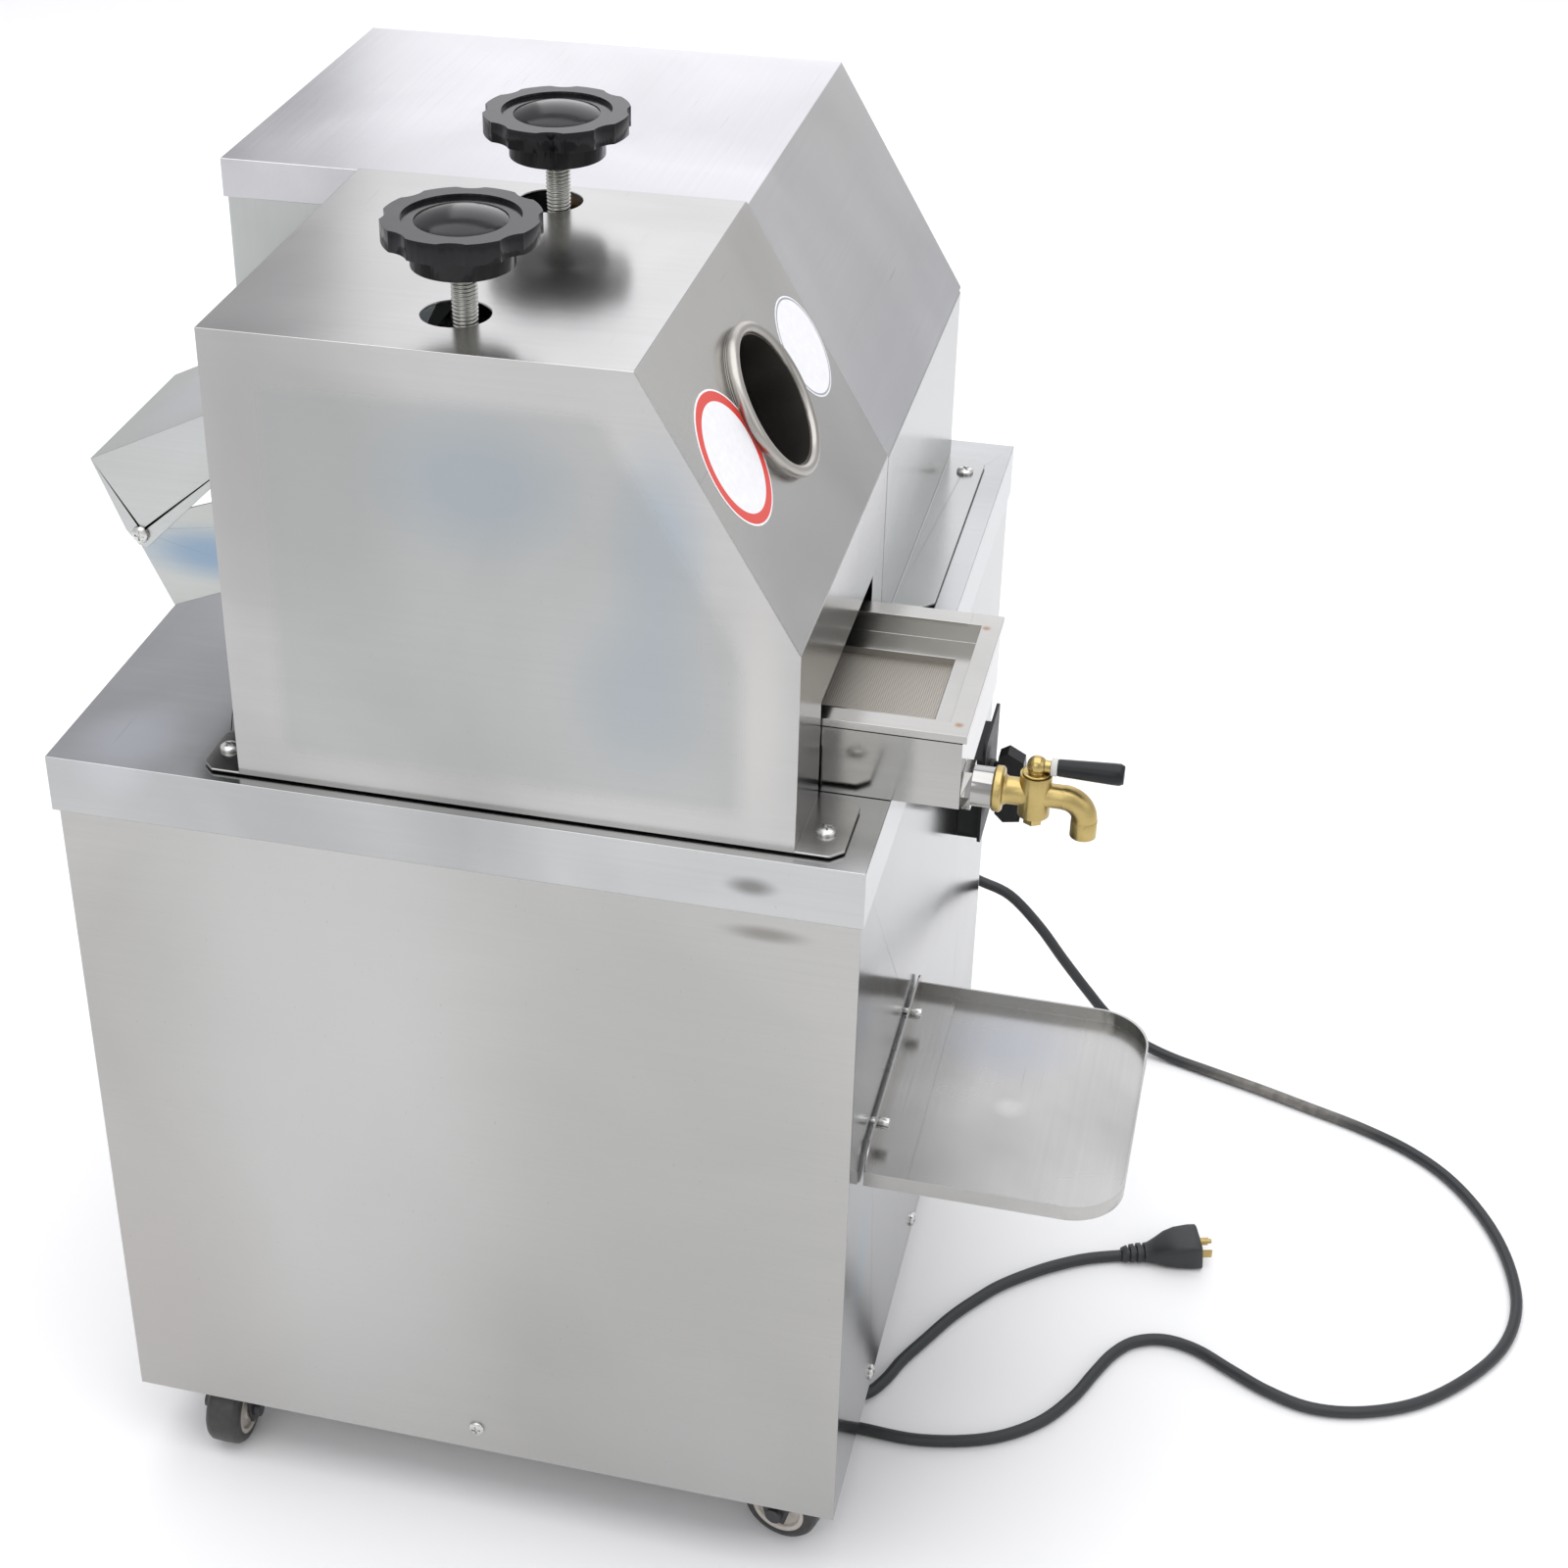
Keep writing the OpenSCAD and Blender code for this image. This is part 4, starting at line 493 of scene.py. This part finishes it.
# Hand knobs, switch handle and tap handle: compression-moulded black phenolic. It is glossy,
# with fine moulding swirls, and a faint grey-green sheen is painted into the colour along them.
def phenolic(name, gloss, painted_sheen):
    material, tree, shader, add = new_material(name)
    place = add("ShaderNodeTexCoord").outputs["Object"]
    swirl = add("ShaderNodeTexNoise", Vector=place, Scale=60.0, Detail=5.0, Distortion=1.5).outputs["Fac"]
    speck = add("ShaderNodeTexNoise", Vector=place, Scale=1100.0, Detail=2.0).outputs["Fac"]
    share = add("ShaderNodeMath", operation="MULTIPLY")
    link(tree, swirl, share.inputs[0])
    # painted sheen: the swirls lighten the black towards grey-green
    share.inputs[1].default_value = painted_sheen
    link(tree, mix_colour(add, tree, share.outputs[0], (0.004, 0.004, 0.005, 1), (0.030, 0.034, 0.033, 1)),
         shader.inputs["Base Color"])
    spread = add("ShaderNodeMapRange", Value=swirl)
    spread.inputs["To Min"].default_value = gloss - 0.05
    spread.inputs["To Max"].default_value = gloss + 0.12
    link(tree, spread.outputs[0], shader.inputs["Roughness"])
    skin = add("ShaderNodeBump", Strength=0.08, Distance=0.0003, Height=speck)
    link(tree, skin.outputs[0], shader.inputs["Normal"])
    shader.inputs["Specular IOR Level"].default_value = 0.28
    return material


knob_black = phenolic("knob_phenolic", 0.12, 0.12)
for name in ("left_knob", "right_knob"):
    dress(name, knob_black, 0.0010)
handle_black = phenolic("handle_phenolic", 0.26, 0.3)
for name in ("tap_handle", "switch_lever"):
    dress(name, handle_black, 0.0006)
# A pale washer shows where the handle meets the brass ball.
shaft = nodes["tap_handle"]
washer_width = 0.0034
pale, tree, shader, add = new_material("washer_nylon")
place = add("ShaderNodeTexCoord").outputs["Object"]
worn = add("ShaderNodeTexNoise", Vector=place, Scale=300.0, Detail=4.0).outputs["Fac"]
link(tree, mix_colour(add, tree, worn, (0.42, 0.41, 0.38, 1), (0.62, 0.61, 0.58, 1)),
     shader.inputs["Base Color"])
shader.inputs["Roughness"].default_value = 0.45
shaft.data.materials.append(pale)
washer_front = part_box("tap_handle")[1].y - washer_width
for polygon in shaft.data.polygons:
    if (shaft.matrix_world @ polygon.center).y > washer_front:
        polygon.material_index = 1
dress("switch_box", phenolic("switch_plastic", 0.42, 0.35), 0.0008)
dress("cord_gland", phenolic("gland_plastic", 0.5, 0.3), 0.0004)


# Tap: cast brass with a satin body and turned, polished faces; its tone varies a little at random.
def tap_brass(name, rough):
    material, tree, shader, add = new_material(name)
    place = add("ShaderNodeTexCoord").outputs["Object"]
    cast = add("ShaderNodeTexNoise", Vector=place, Scale=90.0, Detail=6.0).outputs["Fac"]
    fine = add("ShaderNodeTexNoise", Vector=place, Scale=700.0, Detail=3.0).outputs["Fac"]
    link(tree, mix_colour(add, tree, cast, (0.36, 0.27, 0.10, 1), (0.58, 0.45, 0.19, 1)),
         shader.inputs["Base Color"])
    spread = add("ShaderNodeMapRange", Value=cast)
    spread.inputs["To Min"].default_value = rough - 0.04
    spread.inputs["To Max"].default_value = rough + 0.14
    link(tree, spread.outputs[0], shader.inputs["Roughness"])
    skin = add("ShaderNodeBump", Strength=0.3, Distance=0.0004, Height=fine)
    link(tree, skin.outputs[0], shader.inputs["Normal"])
    shader.inputs["Metallic"].default_value = 1.0
    return material


dress("tap_body", tap_brass("tap_body_brass", 0.30), 0.0003)
dress("tap_plug", tap_brass("tap_plug_brass", 0.16), 0.0003)


# Screws: zinc-plated pan heads with a cross recess. The recess is cut into each head that
# shows, and the heads are set by hand so no two stand the same way.
# Each head: its seat in machine millimetres, the way it faces, and its height.
heads = [((30, 27, 478.5), (0, 0, 1), 3.2), ((30, 362, 478.5), (0, 0, 1), 3.2),
         ((474, 25, 478.5), (0, 0, 1), 3.2), ((480, 446, 478.5), (0, 0, 1), 3.2),
         ((262, 446, 478.5), (0, 0, 1), 3.2), ((1.4, 228, 18.5), (-1, 0, 0), 2.6),
         ((525.6, 228, 18.5), (1, 0, 0), 2.6), ((118, 1.4, 12), (0, -1, 0), 2.6),
         ((268, 1.4, 12), (0, -1, 0), 2.6), ((418, 1.4, 12), (0, -1, 0), 2.6),
         ((79.7, 426, 578), (-1, 0, 0), 3.0), ((196.3, 426, 578), (1, 0, 0), 3.0)]
arm_size = (0.0058, 0.0013, 0.0036, 1)
recess = bmesh.new()
for i, (seat, axis, height) in enumerate(heads):
    facing = Vector(axis).to_track_quat("Z", "Y").to_matrix().to_4x4()
    turned_by = Matrix.Rotation(0.35 + 0.9 * i, 4, "Z")
    base = Matrix.Translation(machine_point(*seat)) @ facing @ turned_by
    for quarter in (0, math.pi / 2):
        arm = Matrix.Rotation(quarter, 4, "Z") @ Matrix.Translation((0, 0, (height + 0.4) / 1000))
        bmesh.ops.create_cube(recess, size=1.0, matrix=base @ arm @ Matrix.Diagonal(arm_size))
recess_mesh = bpy.data.meshes.new("screw_recess")
recess.to_mesh(recess_mesh)
recess.free()
recess_tool = bpy.data.objects.new("screw_recess", recess_mesh)
bpy.context.scene.collection.objects.link(recess_tool)
recess_tool.hide_render = True
screws = dress("pan_screws", zinc)
screws.modifiers.new("weld", "WELD").merge_threshold = 0.00001
cut = screws.modifiers.new("cross recess", "BOOLEAN")
cut.object = recess_tool
cut.use_self = True
dress("shelf_bolts", zinc, 0.0003)


# Casters: black-coated pressed forks, and wheels with a black moulded tread round a
# warm-grey nylon hub. Each wheel's material measures its radius from its own axle.
fork_coating = rough_part("fork_coating", (0.03, 0.03, 0.032), 0.1, 0.36, 300.0, 0.0005)
caster_trail, axle_z, hub_radius = 18, -29, 0.0172
casters = {"fl": (43, 56, 257), "fr": (484, 56, -25), "bl": (43, 404, 180), "br": (484, 404, 25)}
for corner, (x, y, heading) in casters.items():
    dress("caster_fork_" + corner, fork_coating, 0.0004)
    material, tree, shader, add = new_material("wheel_" + corner)
    place = add("ShaderNodeTexCoord").outputs["Object"]
    turn = math.radians(heading)
    axle = machine_point(x + caster_trail * math.cos(turn), y + caster_trail * math.sin(turn), axle_z)
    away = add("ShaderNodeVectorMath", operation="SUBTRACT")
    link(tree, place, away.inputs[0])
    away.inputs[1].default_value = axle
    flat = add("ShaderNodeVectorMath", operation="CROSS_PRODUCT")
    link(tree, away.outputs[0], flat.inputs[0])
    flat.inputs[1].default_value = (-math.sin(turn), math.cos(turn), 0)
    radius = add("ShaderNodeVectorMath", operation="LENGTH")
    link(tree, flat.outputs[0], radius.inputs[0])
    tread = add("ShaderNodeMapRange")
    link(tree, radius.outputs["Value"], tread.inputs["Value"])
    tread.inputs["From Min"].default_value = hub_radius
    tread.inputs["From Max"].default_value = hub_radius + 0.0004
    scuff = add("ShaderNodeTexNoise", Vector=place, Scale=220.0, Detail=5.0).outputs["Fac"]
    hub = mix_colour(add, tree, scuff, (0.38, 0.35, 0.31, 1), (0.55, 0.51, 0.46, 1))
    rubber = mix_colour(add, tree, scuff, (0.012, 0.012, 0.013, 1), (0.045, 0.043, 0.04, 1))
    link(tree, mix_colour(add, tree, tread.outputs[0], hub, rubber), shader.inputs["Base Color"])
    skin = add("ShaderNodeBump", Strength=0.2, Distance=0.0004, Height=scuff)
    link(tree, skin.outputs[0], shader.inputs["Normal"])
    shader.inputs["Roughness"].default_value = 0.42
    dress("caster_wheel_" + corner, material, 0.0006)


# Plug: black PVC moulded over the cord, with a grooved strain relief that flares into the
# body. It lies on the floor and points away from the cabinet.
plug_heading = math.radians(-73.2)
forward = Vector((math.cos(plug_heading), math.sin(plug_heading), 0))
sideways = Vector((-math.sin(plug_heading), math.cos(plug_heading), 0))
start = machine_point(337.5, -139, -50)
around = 40
# Each section: millimetres from the cord's end, half the width, and squareness (4 is round).
sections = [(0.0, 4.0, 4.0), (0.4, 5.2, 4.0), (3.6, 6.3, 4.0), (4.2, 6.3, 4.0), (4.6, 5.1, 4.0),
            (5.8, 5.2, 4.0), (6.2, 6.8, 4.0), (8.8, 7.1, 4.0), (9.2, 5.7, 4.0), (10.6, 5.8, 4.0),
            (11.0, 7.3, 4.0), (13.8, 7.5, 4.0), (14.2, 6.1, 4.0), (15.6, 6.3, 4.0), (16.2, 7.4, 4.0),
            (19.0, 7.8, 4.0), (24.0, 9.4, 4.6), (31.0, 11.8, 6.0), (38.0, 13.2, 7.0),
            (48.0, 13.9, 8.0), (54.0, 13.9, 8.0), (54.9, 13.2, 8.0)]
plug_mesh = bmesh.new()
rings = []
for along_mm, half, square in sections:
    height = min(half, 4.0 + (half - 4.0) * 0.70)
    lift = height - 4.0
    ring = []
    for k in range(around):
        angle = 2 * math.pi * k / around
        c, s = math.cos(angle), math.sin(angle)
        power = 1.0 if along_mm < 17 else 2.0 / (2.0 + (square - 4.0))
        u = half * math.copysign(abs(c) ** power, c)
        v = height * math.copysign(abs(s) ** power, s)
        lean = 0.08 * v if along_mm > 50 else 0.0
        ring.append(plug_mesh.verts.new(start + forward * (along_mm - lean) / 1000
                                        + sideways * u / 1000 + Vector((0, 0, (v + lift) / 1000))))
    rings.append(ring)
for first, second in zip(rings, rings[1:]):
    for k in range(around):
        plug_mesh.faces.new((first[k], first[(k + 1) % around], second[(k + 1) % around], second[k]))
plug_mesh.faces.new(reversed(rings[0]))
plug_mesh.faces.new(rings[-1])
bmesh.ops.recalc_face_normals(plug_mesh, faces=plug_mesh.faces)
mesh = bpy.data.meshes.new("plug_body")
plug_mesh.to_mesh(mesh)
plug_mesh.free()
mesh.shade_smooth()
plug = add_object("plug_body", mesh, "cabinet", "plug")
plug.modifiers.new("crisp ends", "EDGE_SPLIT").split_angle = math.radians(50)
mesh.materials.append(rough_part("plug_pvc", (0.022, 0.024, 0.025), 0.0, 0.46, 800.0, 0.0004, 0.2))

# Plug contacts: two flat brass blades and a round earth pin, standing out of the moulded face.
contacts = bmesh.new()
facing = Matrix((
    (forward.x, sideways.x, 0, 0), (forward.y, sideways.y, 0, 0), (0, 0, 1, 0), (0, 0, 0, 1)))
contact_reach = 0.0588
for side in (-6.3, 6.3):
    middle = start + forward * contact_reach + sideways * side / 1000 + Vector((0, 0, 0.0056))
    bmesh.ops.create_cube(contacts, size=1.0, matrix=Matrix.Translation(middle) @ facing
                          @ Matrix.Diagonal((0.0080, 0.0015, 0.0063, 1)))
pin_place = start + forward * contact_reach + Vector((0, 0, 0.0115))
bmesh.ops.create_cone(contacts, segments=24, radius1=0.0022, radius2=0.0016, depth=0.0085, cap_ends=True,
                      matrix=Matrix.Translation(pin_place) @ facing @ Matrix.Rotation(math.pi / 2, 4, "Y"))
bmesh.ops.bevel(contacts, geom=list(contacts.edges), offset=0.0003, segments=2, affect="EDGES",
                clamp_overlap=True)
mesh = bpy.data.meshes.new("plug_contacts")
contacts.to_mesh(mesh)
contacts.free()
mesh.materials.append(tap_brass("contact_brass", 0.34))
blades = add_object("plug_contacts", mesh, "cabinet", None)


# Labels: two round plastic stickers on the sloping face, one white with a red ring and one
# plain white with a thin grey ring. They carry no lettering and no sign.
slope_up = Vector((0, 84.5, 143)).normalized()
slope_out = Vector((0, -slope_up.z, slope_up.y))
corners, ring_outside = 96, 0.97
for name, x, reach, size, ring_colour, ring_inside in (
        ("ring_label", 58.6, 92.3, 36.5, (0.62, 0.045, 0.03, 1), 0.82),
        ("plain_label", 212.8, 87.3, 29.5, (0.30, 0.31, 0.36, 1), 0.93)):
    centre = machine_point(x, 39, 594.5) + slope_up * reach / 1000 + slope_out * 0.00012
    disc = bmesh.new()
    circle = []
    for level_mm, share in ((-0.0001, 1.0), (0.00012, 1.0), (0.00016, 0.994), (0.00016, 0.5)):
        circle.append([disc.verts.new(centre + slope_out * level_mm + size * share / 1000 * (
            Vector((1, 0, 0)) * math.cos(2 * math.pi * k / corners)
            + slope_up * math.sin(2 * math.pi * k / corners))) for k in range(corners)])
    for first, second in zip(circle, circle[1:]):
        for k in range(corners):
            disc.faces.new((first[k], first[(k + 1) % corners], second[(k + 1) % corners], second[k]))
    disc.faces.new(circle[-1])
    bmesh.ops.recalc_face_normals(disc, faces=disc.faces)
    mesh = bpy.data.meshes.new(name)
    disc.to_mesh(mesh)
    disc.free()
    material, tree, shader, add = new_material(name + "_print")
    place = add("ShaderNodeTexCoord").outputs["Object"]
    away = add("ShaderNodeVectorMath", operation="DISTANCE")
    link(tree, place, away.inputs[0])
    away.inputs[1].default_value = centre
    ring = add("ShaderNodeMath", operation="COMPARE")
    link(tree, away.outputs["Value"], ring.inputs[0])
    ring.inputs[1].default_value = size / 1000 * (ring_inside + ring_outside) / 2
    ring.inputs[2].default_value = size / 1000 * (ring_outside - ring_inside) / 2
    fibre = add("ShaderNodeTexNoise", Vector=place, Scale=240.0, Detail=4.0).outputs["Fac"]
    paper = mix_colour(add, tree, fibre, (0.70, 0.70, 0.72, 1), (0.84, 0.84, 0.85, 1))
    link(tree, mix_colour(add, tree, ring.outputs[0], paper, ring_colour), shader.inputs["Base Color"])
    skin = add("ShaderNodeBump", Strength=0.1, Distance=0.0002, Height=fibre)
    link(tree, skin.outputs[0], shader.inputs["Normal"])
    shader.inputs["Roughness"].default_value = 0.38
    mesh.materials.append(material)
    add_object(name, mesh, "cabinet")


# Studio: a pale floor that runs far back, a soft room whose walls are lighter and darker in
# places, and large soft lamps. They belong to the room and not to the machine.
ground = bmesh.new()
bmesh.ops.create_grid(ground, x_segments=2, y_segments=2, size=14.0)
mesh = bpy.data.meshes.new("floor")
ground.to_mesh(mesh)
ground.free()
floor = bpy.data.objects.new("floor", mesh)
floor.location = (0, 0, -0.0002)
bpy.context.scene.collection.objects.link(floor)
material, tree, shader, add = new_material("floor_paper")
place = add("ShaderNodeTexCoord").outputs["Object"]
mottle = add("ShaderNodeTexNoise", Vector=place, Scale=2.0, Detail=2.0).outputs["Fac"]
link(tree, mix_colour(add, tree, mottle, (0.88, 0.88, 0.88, 1), (0.93, 0.93, 0.93, 1)),
     shader.inputs["Base Color"])
shader.inputs["Roughness"].default_value = 0.9
mesh.materials.append(material)

world = bpy.data.worlds.new("room")
bpy.context.scene.world = world
world.use_nodes = True
tree = world.node_tree
background = tree.nodes["Background"]
direction = tree.nodes.new("ShaderNodeTexCoord").outputs["Generated"]
parts = tree.nodes.new("ShaderNodeSeparateXYZ")
tree.links.new(direction, parts.inputs[0])
height = tree.nodes.new("ShaderNodeValToRGB")
tree.links.new(parts.outputs["Z"], height.inputs[0])
ramp = height.color_ramp
ramp.elements[0].position, ramp.elements[0].color = 0.0, (0.92, 0.92, 0.91, 1)
ramp.elements[1].position, ramp.elements[1].color = 1.0, (0.55, 0.56, 0.60, 1)
ramp.elements.new(0.16).color = (0.74, 0.74, 0.74, 1)
ramp.elements.new(0.34).color = (0.74, 0.74, 0.77, 1)
ramp.elements.new(0.60).color = (0.80, 0.80, 0.85, 1)
uneven = tree.nodes.new("ShaderNodeTexNoise")
uneven.inputs["Scale"].default_value = 1.7
uneven.inputs["Detail"].default_value = 1.0
tree.links.new(direction, uneven.inputs["Vector"])
patches = tree.nodes.new("ShaderNodeMapRange")
patches.inputs["From Min"].default_value = 0.36
patches.inputs["From Max"].default_value = 0.62
patches.inputs["To Min"].default_value = 0.86
patches.inputs["To Max"].default_value = 1.08
tree.links.new(uneven.outputs["Fac"], patches.inputs["Value"])
tree.links.new(height.outputs[0], background.inputs["Color"])
tree.links.new(patches.outputs[0], background.inputs["Strength"])

for name, place, target, size, power, tint in (
        ("window", (2.9, 0.1, 2.0), (0, 0.0, 0.7), 2.5, 17.0, (0.97, 0.97, 1.0)),
        ("front_lamp", (-1.2, -3.6, 2.8), (0, 0, 0.4), 3.0, 20.0, (1.0, 0.99, 0.97)),
        ("near_lamp", (-4.2, 1.2, 3.2), (0, 0, 0.2), 3.4, 40.0, (1.0, 0.99, 0.98)),
        ("top_lamp", (0.0, 0.0, 4.0), (0, 0, 0.0), 4.6, 130.0, (1.0, 1.0, 1.0))):
    lamp_data = bpy.data.lights.new(name, "AREA")
    lamp_data.shape = "SQUARE"
    lamp_data.size = size
    lamp_data.energy = power
    lamp_data.color = tint
    lamp = bpy.data.objects.new(name, lamp_data)
    lamp.location = place
    lamp.rotation_mode = "QUATERNION"
    lamp.rotation_quaternion = (Vector(target) - Vector(place)).to_track_quat("-Z", "Y")
    bpy.context.scene.collection.objects.link(lamp)
bpy.context.scene.view_settings.view_transform = "Standard"
